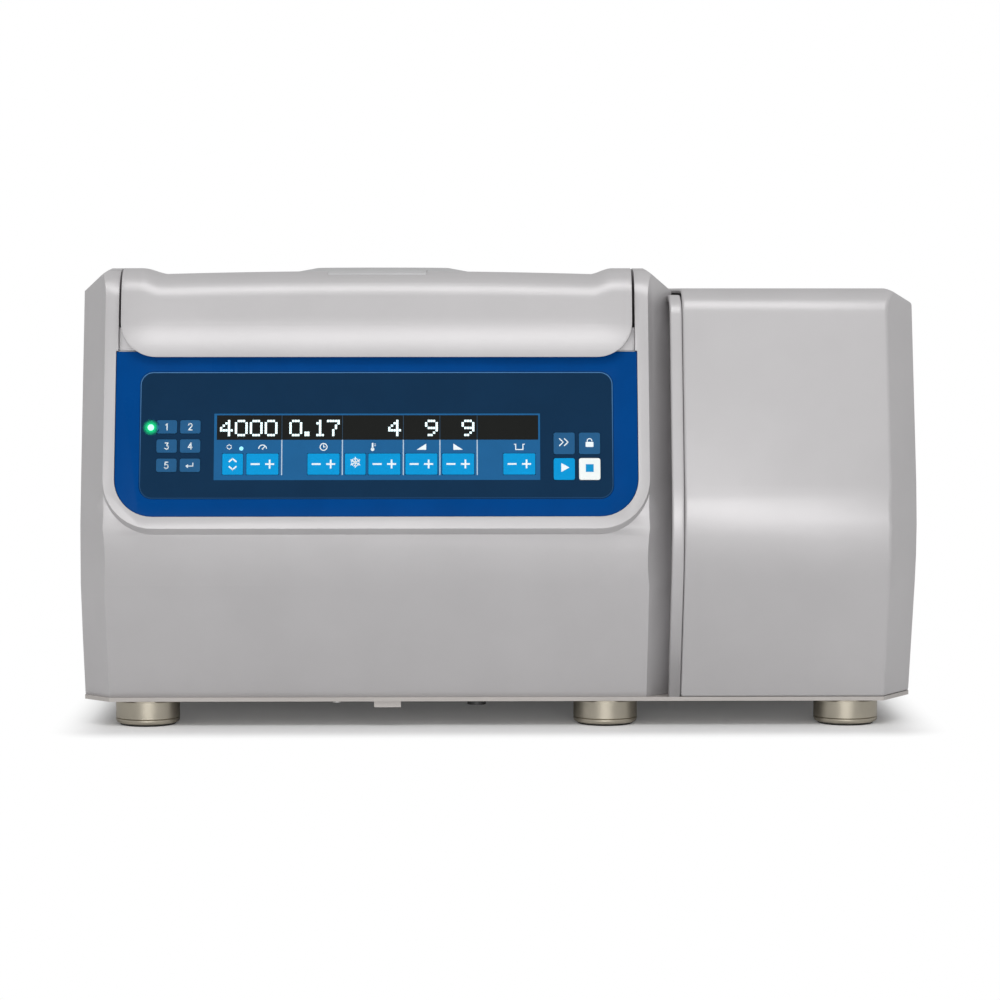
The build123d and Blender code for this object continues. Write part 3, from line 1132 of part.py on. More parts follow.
def striker(side):
    """Plate under the lid with a window for the lock's claw."""
    x = MIDDLE + side * LOCK_HALF_SPAN
    low = LOCK_AXIS_Z - 3.0
    plate = block(x - STRIKER_WIDTH / 2, x + STRIKER_WIDTH / 2, STRIKER_Y, STRIKER_Y + STRIKER_THICKNESS,
                  low, LID_BOTTOM)
    plate += block(x - STRIKER_WIDTH / 2, x + STRIKER_WIDTH / 2, STRIKER_Y, STRIKER_Y + 12.0,
                   LID_BOTTOM - 3.0, LID_BOTTOM)
    window_low = LOCK_AXIS_Z + 5.5
    return plate - block(x - STRIKER_WINDOW / 2, x + STRIKER_WINDOW / 2, STRIKER_Y - 1,
                         STRIKER_Y + STRIKER_THICKNESS + 1, window_low, LOCK_AXIS_Z + 16.5)


def sector(inner, outer, start, end):
    """Ring sector in (y, z) about the lock's axis, angles in degrees up from straight back."""
    def at(radius, angle):
        turn = math.radians(angle)
        return (LOCK_AXIS_Y + radius * math.cos(turn), LOCK_AXIS_Z + radius * math.sin(turn))

    middle = (start + end) / 2
    return make_face([
        ThreePointArc(at(outer, start), at(outer, middle), at(outer, end)),
        Line(at(outer, end), at(inner, end)),
        ThreePointArc(at(inner, end), at(inner, middle), at(inner, start)),
        Line(at(inner, start), at(outer, start)),
    ])


def lock_hooks():
    """Two claws on one cross shaft, shown unlocked."""
    tip = CLAW_TIP_UNLOCKED
    tail = tip + CLAW_SPAN
    reach = LOCK_HALF_SPAN + CLAW_THICKNESS / 2 + 8.0
    hooks = rod_x(MIDDLE - reach, MIDDLE + reach, LOCK_AXIS_Y, LOCK_AXIS_Z, LOCK_SHAFT_RADIUS)
    for side in (-1, 1):
        x0 = MIDDLE + side * LOCK_HALF_SPAN - CLAW_THICKNESS / 2
        x1 = x0 + CLAW_THICKNESS
        hooks += across(sector(CLAW_INNER, CLAW_OUTER, tip, tail), x0, x1)
        hooks += across(sector(LOCK_SHAFT_RADIUS - 1.0, CLAW_INNER + 1.0, tail - 22.0, tail), x0, x1)
        hooks += rod_x(x0, x1, LOCK_AXIS_Y, LOCK_AXIS_Z, LOCK_SHAFT_RADIUS + 3.5)
    return hooks


def lock_case(side):
    """Folded bracket under the deck that carries one end of the lock's shaft."""
    x = MIDDLE + side * LOCK_HALF_SPAN
    inner = CLAW_THICKNESS / 2 + 1.5
    outer = inner + LOCK_CHEEK
    top = DECK_TOP - DECK_THICKNESS
    case = None
    for x0, x1 in ((x - outer, x - inner), (x + inner, x + outer)):
        cheek = block(x0, x1, LOCK_AXIS_Y - 8.0, LOCK_AXIS_Y + 8.0, LOCK_AXIS_Z - 8.0, top)
        case = cheek if case is None else case + cheek
    case += block(x - outer, x + outer, LOCK_AXIS_Y + 8.0 - 2.0, LOCK_AXIS_Y + 8.0,
                  LOCK_AXIS_Z - 20.0, LOCK_AXIS_Z - 8.0)
    case += block(x - outer, x + outer, LOCK_AXIS_Y - 8.0, LOCK_AXIS_Y + 8.0,
                  LOCK_AXIS_Z - 22.0, LOCK_AXIS_Z - 20.0 + 1.0)
    for x0, x1 in ((x - outer, x - inner), (x + inner, x + outer)):
        case += block(x0, x1, LOCK_AXIS_Y - 8.0, LOCK_AXIS_Y + 8.0, LOCK_AXIS_Z - 21.0, LOCK_AXIS_Z - 7.0)
    return case - rod_x(x - 20, x + 20, LOCK_AXIS_Y, LOCK_AXIS_Z, LOCK_SHAFT_RADIUS + RUNNING_CLEARANCE)


# ---- Cooling unit ----
COMPRESSOR_FOOT_ROUND = 18.0
COMPRESSOR_DOME_ROUND = 40.0
COMPRESSOR_SEAM = (2.0, 6.0)     # how far the welded seam stands out, and its height
COMPRESSOR_PLATE_HALF = 62.0
COMPRESSOR_PLATE_THICKNESS = 3.0
COMPRESSOR_POST_INSET = 12.0
COMPRESSOR_POST_RADIUS = 9.0


def compressor():
    """Hermetic compressor: domed steel can on a foot plate that stands on four posts."""
    low, high, radius = COMPRESSOR_BOTTOM, COMPRESSOR_TOP, COMPRESSOR_RADIUS
    foot_round, dome_round = COMPRESSOR_FOOT_ROUND, COMPRESSOR_DOME_ROUND
    face = make_face([
        Line((0, low), (radius - foot_round, low)),
        RadiusArc((radius - foot_round, low), (radius, low + foot_round), -foot_round),
        Line((radius, low + foot_round), (radius, high - dome_round)),
        RadiusArc((radius, high - dome_round), (radius - dome_round, high), -dome_round),
        Line((radius - dome_round, high), (0, high)),
        Line((0, high), (0, low)),
    ])
    can = Pos(COMPRESSOR_X, COMPRESSOR_Y, 0) * revolve(Plane.XZ * face, Axis.Z)
    seam_z = (low + high) / 2
    seam_out, seam_height = COMPRESSOR_SEAM
    can += upright(COMPRESSOR_X, COMPRESSOR_Y, seam_z, seam_z + seam_height, radius + seam_out)
    plate = COMPRESSOR_PLATE_HALF
    half_thick = COMPRESSOR_PLATE_THICKNESS / 2
    can += block(COMPRESSOR_X - plate, COMPRESSOR_X + plate, COMPRESSOR_Y - plate, COMPRESSOR_Y + plate,
                 low - half_thick, low + half_thick)
    reach = plate - COMPRESSOR_POST_INSET
    for sx in (-1, 1):
        for sy in (-1, 1):
            can += upright(COMPRESSOR_X + sx * reach, COMPRESSOR_Y + sy * reach,
                           BASE, low, COMPRESSOR_POST_RADIUS)
    return can


CONDENSER_SIDE_GAP = 2.0
CONDENSER_END_PLATE = 3.0
CONDENSER_TUBES = 5
CONDENSER_TUBE_RADIUS = 4.0
CONDENSER_TUBE_INSET = 14.0
CONDENSER_FIN_THICKNESS = 0.8
CONDENSER_FIN_INSET = 2.0
FITTING_HALF_HEIGHT = 6.0
FITTING_HALF_WIDTH = 3.0
FITTING_DEPTH_BEHIND = 8.0


def condenser():
    """Finned block between the fan and the rear grille."""
    y0 = CONDENSER_FRONT
    y1 = CONDENSER_FRONT + CONDENSER_DEPTH
    low, high = FAN_Z - SHROUD_HALF, FAN_Z + SHROUD_HALF
    left = FAN_X - SHROUD_HALF + CONDENSER_SIDE_GAP
    right = FAN_X + SHROUD_HALF - CONDENSER_SIDE_GAP
    plate = CONDENSER_END_PLATE
    core = block(left, left + plate, y0, y1, low, high) + block(right - plate, right, y0, y1, low, high)
    step = (high - low - 2 * CONDENSER_TUBE_INSET) / (CONDENSER_TUBES - 1)
    for i in range(CONDENSER_TUBES):
        z = low + CONDENSER_TUBE_INSET + i * step
        core += rod_x(left + 1.0, right - 1.0, (y0 + y1) / 2, z, CONDENSER_TUBE_RADIUS)
    pitch = (right - left - 2 * plate) / CONDENSER_FINS
    half_fin = CONDENSER_FIN_THICKNESS / 2
    for i in range(1, CONDENSER_FINS):
        x = left + plate + i * pitch
        core += block(x - half_fin, x + half_fin, y0 + CONDENSER_FIN_INSET, y1 - CONDENSER_FIN_INSET, low, high)
    for x0, x1 in ((left, left + plate), (right - plate, right)):
        core += block(x0, x1, y0, y1, BASE, low + 1.0)
    fitting_z = LINE_Z[1]
    core += block(LIQUID_LINE_X - FITTING_HALF_WIDTH, left + 1.0, y0 + FITTING_SETBACK,
                  y1 - FITTING_DEPTH_BEHIND, fitting_z - FITTING_HALF_HEIGHT, fitting_z + FITTING_HALF_HEIGHT)
    return core


SHROUD_PLATE = 3.0
DUCT_DEPTH = 24.0
DUCT_WALL = 2.0
SHROUD_WINDOW = (20.0, 12.0, 8.0)    # its space at the sides, above the floor and below the duct
SPIDER_ARM = 4.0                     # thickness, and half the width
FAN_MOTOR_RADIUS = 20.0
FAN_MOTOR_DEPTH = 14.0
FAN_AXLE_RADIUS = 3.0
FAN_AXLE_LENGTH = 20.0
FAN_HUB_RADIUS = 16.0
FAN_HUB_DEPTH = 14.0
FAN_HUB_SETBACK = 7.0                # behind the spider's front
FAN_BLADE = (20.0, 1.6, 35.0)        # chord, thickness and pitch in degrees
FAN_BLADE_ROOT = 14.0
DUCT_FRONT = CONDENSER_FRONT - SHROUD_PLATE - DUCT_DEPTH


def fan_shroud():
    """Square plate with the fan's round duct and the spider that holds its motor."""
    y1 = CONDENSER_FRONT
    y0 = y1 - SHROUD_PLATE
    half = SHROUD_HALF - CONDENSER_SIDE_GAP
    bore = FAN_RADIUS + FAN_TIP_GAP
    side, above, below = SHROUD_WINDOW
    plate = block(FAN_X - half, FAN_X + half, y0, y1, BASE, FAN_Z + SHROUD_HALF)
    plate += rod_y(FAN_X, DUCT_FRONT, y0 + 1.0, FAN_Z, bore + DUCT_WALL)
    plate -= rod_y(FAN_X, DUCT_FRONT - 16.0, y1 + 1.0, FAN_Z, bore)
    plate -= block(FAN_X - half + side, FAN_X + half - side, y0 - 1, y1 + 1, BASE + above, FAN_Z - bore - below)
    front, arm = DUCT_FRONT, SPIDER_ARM
    spider = block(FAN_X - bore - 1, FAN_X + bore + 1, front, front + arm, FAN_Z - arm, FAN_Z + arm)
    spider += block(FAN_X - arm, FAN_X + arm, front, front + arm, FAN_Z - bore - 1, FAN_Z + bore + 1)
    spider += rod_y(FAN_X, front - FAN_MOTOR_DEPTH, front + arm, FAN_Z, FAN_MOTOR_RADIUS)
    spider += rod_y(FAN_X, front + arm - 1.0, front + FAN_AXLE_LENGTH, FAN_Z, FAN_AXLE_RADIUS)
    return plate + spider


def fan_rotor():
    """Fan hub with pitched blades, turning on the spider's axle."""
    front = DUCT_FRONT + FAN_HUB_SETBACK
    chord, thickness, pitch = FAN_BLADE
    hub = rod_y(FAN_X, front, front + FAN_HUB_DEPTH, FAN_Z, FAN_HUB_RADIUS)
    blade = Pos((FAN_RADIUS + FAN_BLADE_ROOT) / 2, 0, 0) * Rot(pitch, 0, 0) * Box(
        FAN_RADIUS - FAN_BLADE_ROOT, chord, thickness)
    for i in range(FAN_BLADES):
        turn = Pos(FAN_X, front + FAN_HUB_DEPTH / 2, FAN_Z) * Rot(0, 360.0 * i / FAN_BLADES, 0)
        hub += turn * blade
    bore = FAN_AXLE_RADIUS + RUNNING_CLEARANCE
    return hub - rod_y(FAN_X, front - 1, front + FAN_HUB_DEPTH - 0.5, FAN_Z, bore)


def inverter_board():
    """Motor drive electronics on the bulkhead: board on pillars, heat sink and two capacitors."""
    face = SPLIT + ASSEMBLY_GAP + BULKHEAD_THICKNESS
    stand_off = 6.0
    back = face + stand_off + BOARD_THICKNESS
    y0 = FRONT + INVERTER_FRONT_SPACE
    y1 = y0 + INVERTER_LENGTH
    z0 = INVERTER_BOTTOM
    z1 = z0 + 2 * INVERTER_LENGTH
    board = block(face + stand_off, back, y0, y1, z0, z1)
    for y in (y0 + stand_off, y1 - stand_off):
        for z in (z0 + stand_off, z1 - stand_off):
            board += rod_x(face, back - 1.0, y, z, 3.0)
    sink_low = z1 - 0.9 * INVERTER_LENGTH
    sink_high = z1 - 2 * stand_off
    board += block(back - 0.1, back + 3.5, y0 + stand_off, y1 - stand_off, sink_low, sink_high)
    pitch = (y1 - y0 - 2 * stand_off - 2.5) / 6
    for i in range(7):
        y = y0 + stand_off + i * pitch
        board += block(back, back + 4 * stand_off, y, y + 2.5, sink_low, sink_high)
    for share in (0.28, 0.68):
        y = y0 + share * INVERTER_LENGTH
        board += rod_x(back - 0.1, back + 5 * stand_off, y, z0 + 0.4 * INVERTER_LENGTH, 11.0)
    return board


# ---- Electrics, feet and small parts ----
INLET_FLANGE = (24.0, 13.0, 2.5)     # half width, half height and thickness
INLET_BODY = (13.5, 9.5, 22.0)       # half width, half height and depth
INLET_SOCKET = (12.0, 8.0, 16.0)
INLET_PINS = ((-7.0, -2.0), (0.0, 2.0), (7.0, -2.0))
INLET_PIN = (1.0, 2.0, 5.0)          # half width, half height and setback of its tip


def recess_block(x, half_width, half_height, y0, y1):
    """Block on the electrics' level line, about a given x."""
    return block(x - half_width, x + half_width, y0, y1, ELECTRIC_Z - half_height, ELECTRIC_Z + half_height)


def power_inlet():
    """Mains inlet with a deep three-pin socket."""
    half_width, half_height, thickness = INLET_FLANGE
    inlet = recess_block(INLET_X, half_width, half_height, REAR_FACE, REAR_FACE + thickness)
    half_width, half_height, depth = INLET_BODY
    inlet += recess_block(INLET_X, half_width, half_height, REAR_FACE - depth, REAR_FACE + 1)
    half_width, half_height, depth = INLET_SOCKET
    inlet -= recess_block(INLET_X, half_width, half_height, REAR_FACE - depth, BACK)
    pin_width, pin_height, setback = INLET_PIN
    for x, z in INLET_PINS:
        inlet += Pos(0, 0, z) * recess_block(
            INLET_X + x, pin_width, pin_height, REAR_FACE - depth - 1, REAR_FACE - setback)
    return inlet


SWITCH_HALF_WIDTH = 7.0
SWITCH_HALF_HEIGHT = 11.0
SWITCH_PIVOT_Y = REAR_FACE - 6.0
SWITCH_TILT = 8.0            # degrees from level, off side pressed at rest
SWITCH_ROCKER_INSET = 1.5
SWITCH_ROCKER = (0.6, 2.6, -4.3, -11.0)  # its middle, ends, rear edge and keel, behind the rear face
SWITCH_FLANGE = (13.0, 17.0, 2.0)
SWITCH_BODY = (9.7, 13.7, 18.0)
SWITCH_WINDOW_GAP = (0.4, 1.2)


def power_switch():
    """Rocker of the mains switch: a shallow wedge that tips about a level axis."""
    middle, ends, edge, keel = (REAR_FACE + offset for offset in SWITCH_ROCKER)
    high = ELECTRIC_Z + SWITCH_HALF_HEIGHT - SWITCH_ROCKER_INSET
    low = ELECTRIC_Z - SWITCH_HALF_HEIGHT + SWITCH_ROCKER_INSET
    face = make_face(Polyline(
        (middle, ELECTRIC_Z), (ends, high), (edge, high),
        (keel, ELECTRIC_Z), (edge, low), (ends, low), close=True,
    ))
    rocker = across(face, SWITCH_X - SWITCH_HALF_WIDTH, SWITCH_X + SWITCH_HALF_WIDTH)
    return Pos(0, SWITCH_PIVOT_Y, ELECTRIC_Z) * Rot(-SWITCH_TILT, 0, 0) * Pos(
        0, -SWITCH_PIVOT_Y, -ELECTRIC_Z) * rocker


def switch_frame():
    """Fixed frame round the mains switch."""
    half_width, half_height, thickness = SWITCH_FLANGE
    frame = recess_block(SWITCH_X, half_width, half_height, REAR_FACE, REAR_FACE + thickness)
    half_width, half_height, depth = SWITCH_BODY
    frame += recess_block(SWITCH_X, half_width, half_height, REAR_FACE - depth, REAR_FACE + 1)
    side_gap, end_gap = SWITCH_WINDOW_GAP
    return frame - recess_block(SWITCH_X, SWITCH_HALF_WIDTH + side_gap, SWITCH_HALF_HEIGHT + end_gap,
                                REAR_FACE - depth + 3.0, BACK)


def foot_places():
    return [(x, y) for y in FOOT_Y for x in FOOT_X]


def foot(x, y):
    """Satin metal foot: a cup with a fine groove near its lower edge."""
    low = FOOT_PAD_HEIGHT
    groove = low + FOOT_GROOVE
    r = FOOT_RADIUS
    return spun([
        (0, low), (r - 2.2, low), (r - 0.7, low + 0.8), (r, low + 2.4), (r, groove), (r - 0.7, groove + 0.4),
        (r, groove + 0.8), (r, FOOT_HEIGHT - 1.0), (r - 1.0, FOOT_HEIGHT), (0, FOOT_HEIGHT),
    ], x, y)


def foot_pad(x, y):
    """Rubber pad under a foot."""
    r = FOOT_RADIUS - FOOT_PAD_INSET
    return spun([(0, 0), (r - 0.8, 0), (r, 0.8), (r, FOOT_PAD_HEIGHT), (0, FOOT_PAD_HEIGHT)], x, y)


def release_plug():
    """Pull plug of the emergency lid release, under the tray near the front."""
    cap = upright(RELEASE_X, RELEASE_Y, FOOT_HEIGHT - SEATING_GAP - 4.0, FOOT_HEIGHT - SEATING_GAP, 7.0)
    return cap + upright(RELEASE_X, RELEASE_Y, FOOT_HEIGHT - 1.0, FOOT_HEIGHT + 18.0, 3.4)


def casing_screws():
    """Heads of the screws that hold the rear panel, and one under the tray's front."""
    heads = []
    side = PANEL_SCREW_INSET
    low = BASE + 2.4 * side
    middle = (BASE + COOLING_TOP) / 2
    high = COOLING_TOP - 2 * side
    places = [(x, z) for x in (LEFT + side, RIGHT - side) for z in (low, middle, high)]
    places += [(MIDDLE, BASE + side), (MIDDLE, COOLING_TOP)]
    places += [(COOLING_LEFT + side / 2, low), (COOLING_LEFT + side / 2, high)]
    for x, z in places:
        head = rod_y(x, REAR_FACE, REAR_FACE + SCREW_HEAD_HEIGHT, z, SCREW_HEAD_RADIUS)
        slot = rod_y(x, REAR_FACE + 1.0, BACK, z, 1.4)
        heads.append(head - slot)
    heads.append(upright(TRAY_SCREW_X, TRAY_SCREW_Y, FOOT_HEIGHT - SCREW_HEAD_HEIGHT, FOOT_HEIGHT,
                         SCREW_HEAD_RADIUS))
    return heads


def both(maker):
    """The left and right copies of a handed piece."""
    return [maker(-1), maker(1)]


def build():
    os.makedirs("parts", exist_ok=True)
    save("base_tray", base_tray())
    save("feet", [foot(x, y) for x, y in foot_places()])
    save("foot_pads", [foot_pad(x, y) for x, y in foot_places()])
    save("main_casing", main_casing())
    save("bulkhead", bulkhead())
    save("cooling_casing", cooling_casing())
    save("rear_panel", rear_panel())
    save("chamber_deck", chamber_deck())
    save("casing_screws", casing_screws())
    save("control_bezel", control_bezel())
    save("control_overlay", control_overlay())
    save("control_board", control_board())
    for key in PUSH_KEYS:
        save(key[0], key_cap(key, (0.0,)))
    for key in ROCKING_KEYS:
        offset = ROCKER_STEM_SHARE * key[3]
        save(key[0], key_cap(key, (-offset, offset)))
    save("chamber_bowl", chamber_bowl())
    save("chamber_foam", chamber_foam())
    save("guard_ring", guard_ring())
    save("refrigerant_lines", refrigerant_lines())
    save("chamber_seal", chamber_seal())
    save("drive_motor", drive_motor())
    save("motor_mounts", motor_mounts())
    save("drive_shaft", drive_shaft())
    save("rotor_head", rotor_head())
    save("slide_carriers", slide_carriers())
    save("sample_chambers", sample_chambers())
    save("rotor_lid", rotor_lid())
    save("lid_shell", lid_shell())
    save("lid_liner", lid_liner())
    save("port_window", port_window())
    save("hinge_arms", both(hinge_arm))
    save("hinge_brackets", both(hinge_bracket))
    save("hinge_pins", both(hinge_pin))
    save("torsion_springs", both(torsion_spring))
    save("lid_strikers", both(striker))
    save("lock_hooks", lock_hooks())
    save("lock_cases", both(lock_case))
    save("compressor", compressor())
    save("condenser", condenser())
    save("fan_shroud", fan_shroud())
    save("fan_rotor", fan_rotor())
    save("inverter_board", inverter_board())
    save("power_inlet", [power_inlet(), switch_frame()])
    save("power_switch", power_switch())
    save("release_plug", release_plug())


build()
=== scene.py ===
"""Dressed model of a refrigerated bench cytocentrifuge: covers, panel prints, finishes and stage."""

import json
import math

import bmesh
import bpy
import numpy as np
from bpy.props import FloatProperty, FloatVectorProperty, PointerProperty
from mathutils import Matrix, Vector


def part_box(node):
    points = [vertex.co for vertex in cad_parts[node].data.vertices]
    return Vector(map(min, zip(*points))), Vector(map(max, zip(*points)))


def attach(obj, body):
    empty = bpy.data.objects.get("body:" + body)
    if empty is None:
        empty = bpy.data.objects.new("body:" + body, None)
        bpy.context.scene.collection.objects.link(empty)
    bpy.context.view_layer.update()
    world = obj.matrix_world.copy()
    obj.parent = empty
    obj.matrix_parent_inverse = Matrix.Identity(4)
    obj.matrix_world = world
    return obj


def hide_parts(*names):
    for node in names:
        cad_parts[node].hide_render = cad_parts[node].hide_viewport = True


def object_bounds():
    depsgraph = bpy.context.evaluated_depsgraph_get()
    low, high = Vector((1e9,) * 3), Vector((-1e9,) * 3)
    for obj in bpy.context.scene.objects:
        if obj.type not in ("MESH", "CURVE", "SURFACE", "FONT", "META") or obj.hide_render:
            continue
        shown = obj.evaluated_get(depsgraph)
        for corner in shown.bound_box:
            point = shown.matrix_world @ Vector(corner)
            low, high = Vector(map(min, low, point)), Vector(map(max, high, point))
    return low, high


bl_info = {
    "name": "Cytocentrifuge",
    "version": (1, 0, 0),
    "blender": (4, 5, 0),
    "location": "View3D > Sidebar > Cytocentrifuge",
    "description": "Skins, prints and finishes of a refrigerated bench cytocentrifuge",
    "category": "Object",
}

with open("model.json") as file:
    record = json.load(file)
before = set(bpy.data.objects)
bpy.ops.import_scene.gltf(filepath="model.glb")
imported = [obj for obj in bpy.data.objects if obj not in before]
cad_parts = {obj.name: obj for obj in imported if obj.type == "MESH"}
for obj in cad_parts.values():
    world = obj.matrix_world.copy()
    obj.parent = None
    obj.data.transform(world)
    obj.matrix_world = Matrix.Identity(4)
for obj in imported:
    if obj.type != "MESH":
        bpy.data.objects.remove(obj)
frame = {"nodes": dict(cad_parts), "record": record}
CAD_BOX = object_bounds()

MM = 0.001
SLOTS = {part["node"]: part["material_slot"] for part in frame["record"]["subparts"]}
FINISHES = {}


# ---- Places and sizes of the covers, in millimetres ----
def node_box(name):
    """Low and high corner of a node's box in the frame."""
    return [np.array(corner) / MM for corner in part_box(name)]


CASING_LOW, CASING_HIGH = node_box("main_casing")
LID_LOW, LID_HIGH = node_box("lid_shell")
MIDDLE = (CASING_LOW[0] + CASING_HIGH[0]) / 2
FRONT = CASING_LOW[1]
LID_MIDDLE = (LID_LOW[0] + LID_HIGH[0]) / 2
LID_HALF = (LID_HIGH[0] - LID_LOW[0]) / 2

# The units' front, seen from the side, is an arc at the belly and leans back above and below it.
UPPER_LEAN = math.radians(14.0)
LOWER_LEAN = math.radians(20.0)
BELLY_Z = 151.5
BELLY_RADIUS = 130.0
BELLY_STEPS = 40

# Rounding of arrises: a cover's body and its radius.
EDGE_ROUNDS = {
    "main_casing": ("housing", 3.0), "cooling_casing": ("housing", 3.0), "bulkhead": ("housing", 0.9),
    "port_window": ("lid", 0.6), "control_bezel": ("housing", 0.6),
}
LID_END_ROUND = 2.4
EDGE_SEGMENTS = 4
SHARP_ANGLE = math.radians(24.0)
FACET_ANGLE = math.radians(0.4)
MERGE_DISTANCE = 0.01

# Fall of the covers' tops towards the rear.
REAR_FALL = 4.2
FALL_START, FALL_END = -235.0, -95.0
FALL_LOW, FALL_HIGH = 316.0, 340.0
FALL_STEP = 20.0

# The lid from the side: its nose, the round above it and the round rear end.
LID_BELLY_RADIUS = 80.0
LID_BELLY_DROP = 34.0
LID_NOSE_ROUND = 26.0
LID_END_RADIUS = 40.0
# The lid from the front: raised ends of LID_BAND, flanks of LID_FLANK and a crowned top between them.
LID_BAND = 14.0
LID_FLANK = 16.0
LID_SCOOP = 2.1
LID_CROWN_FALL = 3.2
# Points this near to the form belong to its outer skin.
OUTER_REACH = 4.0
# The skin is cut into a grid at these distances from the lid's ends, and at every step of its height.
LID_END_CUTS = np.concatenate([
    np.arange(2.5, 12.0, 2.5), np.arange(13.0, 30.0, 1.5), np.arange(32.0, 185.0, 9.0),
])
LID_HEIGHT_STEP = 3.0
LID_TOP_MARGIN = 6.0

# The lid's nose is drawn back inside its rounded lower corners.
NOSE_CORNER = 26.0
BELLY_DEPTH = 28.0
BELLY_PULL = 5.0
END_SHARE = 0.42
NOSE_REACH = 42.0
NOSE_FADE = 14.0

# Rolled front edge of the bulkhead.
BEAD_LEFT = 126.3
BEAD_DEPTH = 5.0
BEAD_GAP = 0.25
BEAD_RISE = 0.05
BEAD_TOP_ROUND = 21.0
BEAD_TOP_RUN = 20.0
BEAD_ROUND = 1.5

# ---- Layout of the control panel, in millimetres: u across it, v up its lean and w into it ----
OVERLAY_FACE = 1.0
KEY_FACE = 0.75
PRINT_HEIGHT = 0.06

# Boxes are (left, right, low, high).
OVERLAY_BOX = (-174.0, 174.0, 22.6, 117.5)
OVERLAY_CORNER = 9.5
EDGE_WIDTH = 0.7
# The overlay's edge line is a painted highlight: dark blue below the first height and light blue above the
# second, in millimetres.
EDGE_DIM_Z, EDGE_BRIGHT_Z = 170.0, 262.0
DISPLAY = (-119.5, 120.2, 36.4, 86.2)
WINDOW = (-117.5, 118.9, 66.5, 85.0)

SEPARATORS = (-69.7, -25.2, 19.6, 46.5, 73.9)
SEPARATOR_HALF = 0.4
SEPARATOR_DROP = 0.3
WINDOW_LINE_HALF = 0.25

TILE_LOW, TILE_HIGH = 40.4, 56.2
TILE_MIDDLE = (TILE_LOW + TILE_HIGH) / 2
TILE_GAP = 0.28
TILES = (
    "speed_mode_key", "speed_rocker", "time_rocker", "precool_key", "temperature_rocker",
    "acceleration_rocker", "deceleration_rocker", "bucket_rocker",
)
# Height of the mark on each push key.
MARK_V = {
    "program_key_1": 76.3, "program_key_2": 76.3, "program_key_3": 61.9, "program_key_4": 61.9,
    "program_key_5": 47.5, "program_enter_key": 47.5, "speed_mode_key": 48.3, "precool_key": 49.6,
    "pulse_key": 64.6, "lid_open_key": 64.0, "start_key": 45.6, "stop_key": 45.2,
}

SIGN_OFFSET = 5.3
SIGN_REACH = 3.3
SIGN_WIDTH = 1.25
NUMERAL_HEIGHT = 4.6
STOP_HALF = 2.9

LABEL_V = 61.2
LABEL_LINE = 0.55
ARROWS_U, THERMOMETER_U, CUP_U = -108.3, -3.0, 104.9

PROGRAM_LAMP = (-166.0, 75.8)
PROGRAM_LAMP_RADIUS = 2.3
GLOW_RADIUS = 6.5
GLOW_HEIGHT = 0.02
SPEED_LAMP = (-99.4, 60.0)
SPEED_LAMP_RADIUS = 1.5

# The display's digits are dots on a grid of five by seven. READOUT has each text and its left edge.
DOT_PATTERNS = {
    "4": ("00010", "00110", "01010", "10010", "11111", "00010", "00010"),
    "0": ("01110", "10001", "10001", "10001", "10001", "10001", "01110"),
    "1": ("00100", "01100", "00100", "00100", "00100", "00100", "01110"),
    "7": ("11111", "00001", "00010", "00010", "00100", "00100", "00100"),
    "9": ("01110", "10001", "10001", "01111", "00001", "00010", "01100"),
    ".": ("00000", "00000", "00000", "00000", "00000", "01100", "01100"),
}
DOT_PITCH_U = 1.93
DOT_PITCH_V = 1.76
DOT_SIZE = 1.62
DIGIT_TOP = 81.6
DIGIT_ADVANCE = 10.95
READOUT = (("4000", -115.2), ("0", -64.2), (".", -55.0), ("1", -46.3), ("7", -36.6),
           ("4", 8.5), ("9", 35.6), ("9", 62.5))

# Numerals of the program keys, each drawn with one line in a box of one by one.
NUMERALS = {
    "1": ((0.22, 0.78), (0.55, 1.0), (0.55, 0.0)),
    "2": ((0.05, 0.78), (0.2, 0.97), (0.5, 1.02), (0.8, 0.95), (0.92, 0.75), (0.82, 0.55), (0.05, 0.0),
          (0.95, 0.0)),
    "3": ((0.1, 1.0), (0.9, 1.0), (0.45, 0.6), (0.8, 0.52), (0.95, 0.3), (0.8, 0.06), (0.45, -0.02),
          (0.05, 0.12)),
    "4": ((0.72, 0.0), (0.72, 1.0), (0.02, 0.28), (0.98, 0.28)),
    "5": ((0.88, 1.0), (0.2, 1.0), (0.14, 0.56), (0.5, 0.64), (0.85, 0.52), (0.95, 0.3), (0.8, 0.06),
          (0.45, -0.02), (0.05, 0.12)),
}
NUMERAL_SHAPE = 0.62
NUMERAL_LINE = 0.16

# ---- Stage, in metres ----
FLOOR_REACH = 6.0
FOOTPRINT = (0.285, 0.285, 0.0)
SHADE_FADE = 0.05
# Strength of a faint painted glow that lightens the floor's shadow under the object, seen by the camera
# only.
SHADE_LIFT = 0.06
LIGHT_TARGET = (0.0, -0.28, 0.17)
# Two softboxes in front, one low and one high, both far wider than the object: place and size.
FRONT_SOFTBOX = ((0.0, -3.7, 0.47), (2.4, 0.7))
HIGH_SOFTBOX = ((0.0, -1.75, 2.9), (2.8, 1.1))
CAMERA_PLACE = (-0.035, -2.7025, 0.3255)
CAMERA_PITCH = math.radians(3.655)
CAMERA_TURN = math.radians(0.83)
CAMERA_LENS = 118.15
CAMERA_SENSOR = 36.0
CAMERA_FAR = 50.0
WHITE = (1.0, 1.0, 1.0, 1.0)


# ---- Colour and node helpers ----
def linear(code):
    """sRGB hex text to linear red, green, blue and full alpha."""
    parts = [int(code[i:i + 2], 16) / 255 for i in (1, 3, 5)]
    return tuple(c / 12.92 if c <= 0.04045 else ((c + 0.055) / 1.055) ** 2.4 for c in parts) + (1.0,)


def tones(colour, share):
    """A colour, and the same colour with a share of its light."""
    return colour, tuple(share * c for c in colour[:3]) + (1.0,)


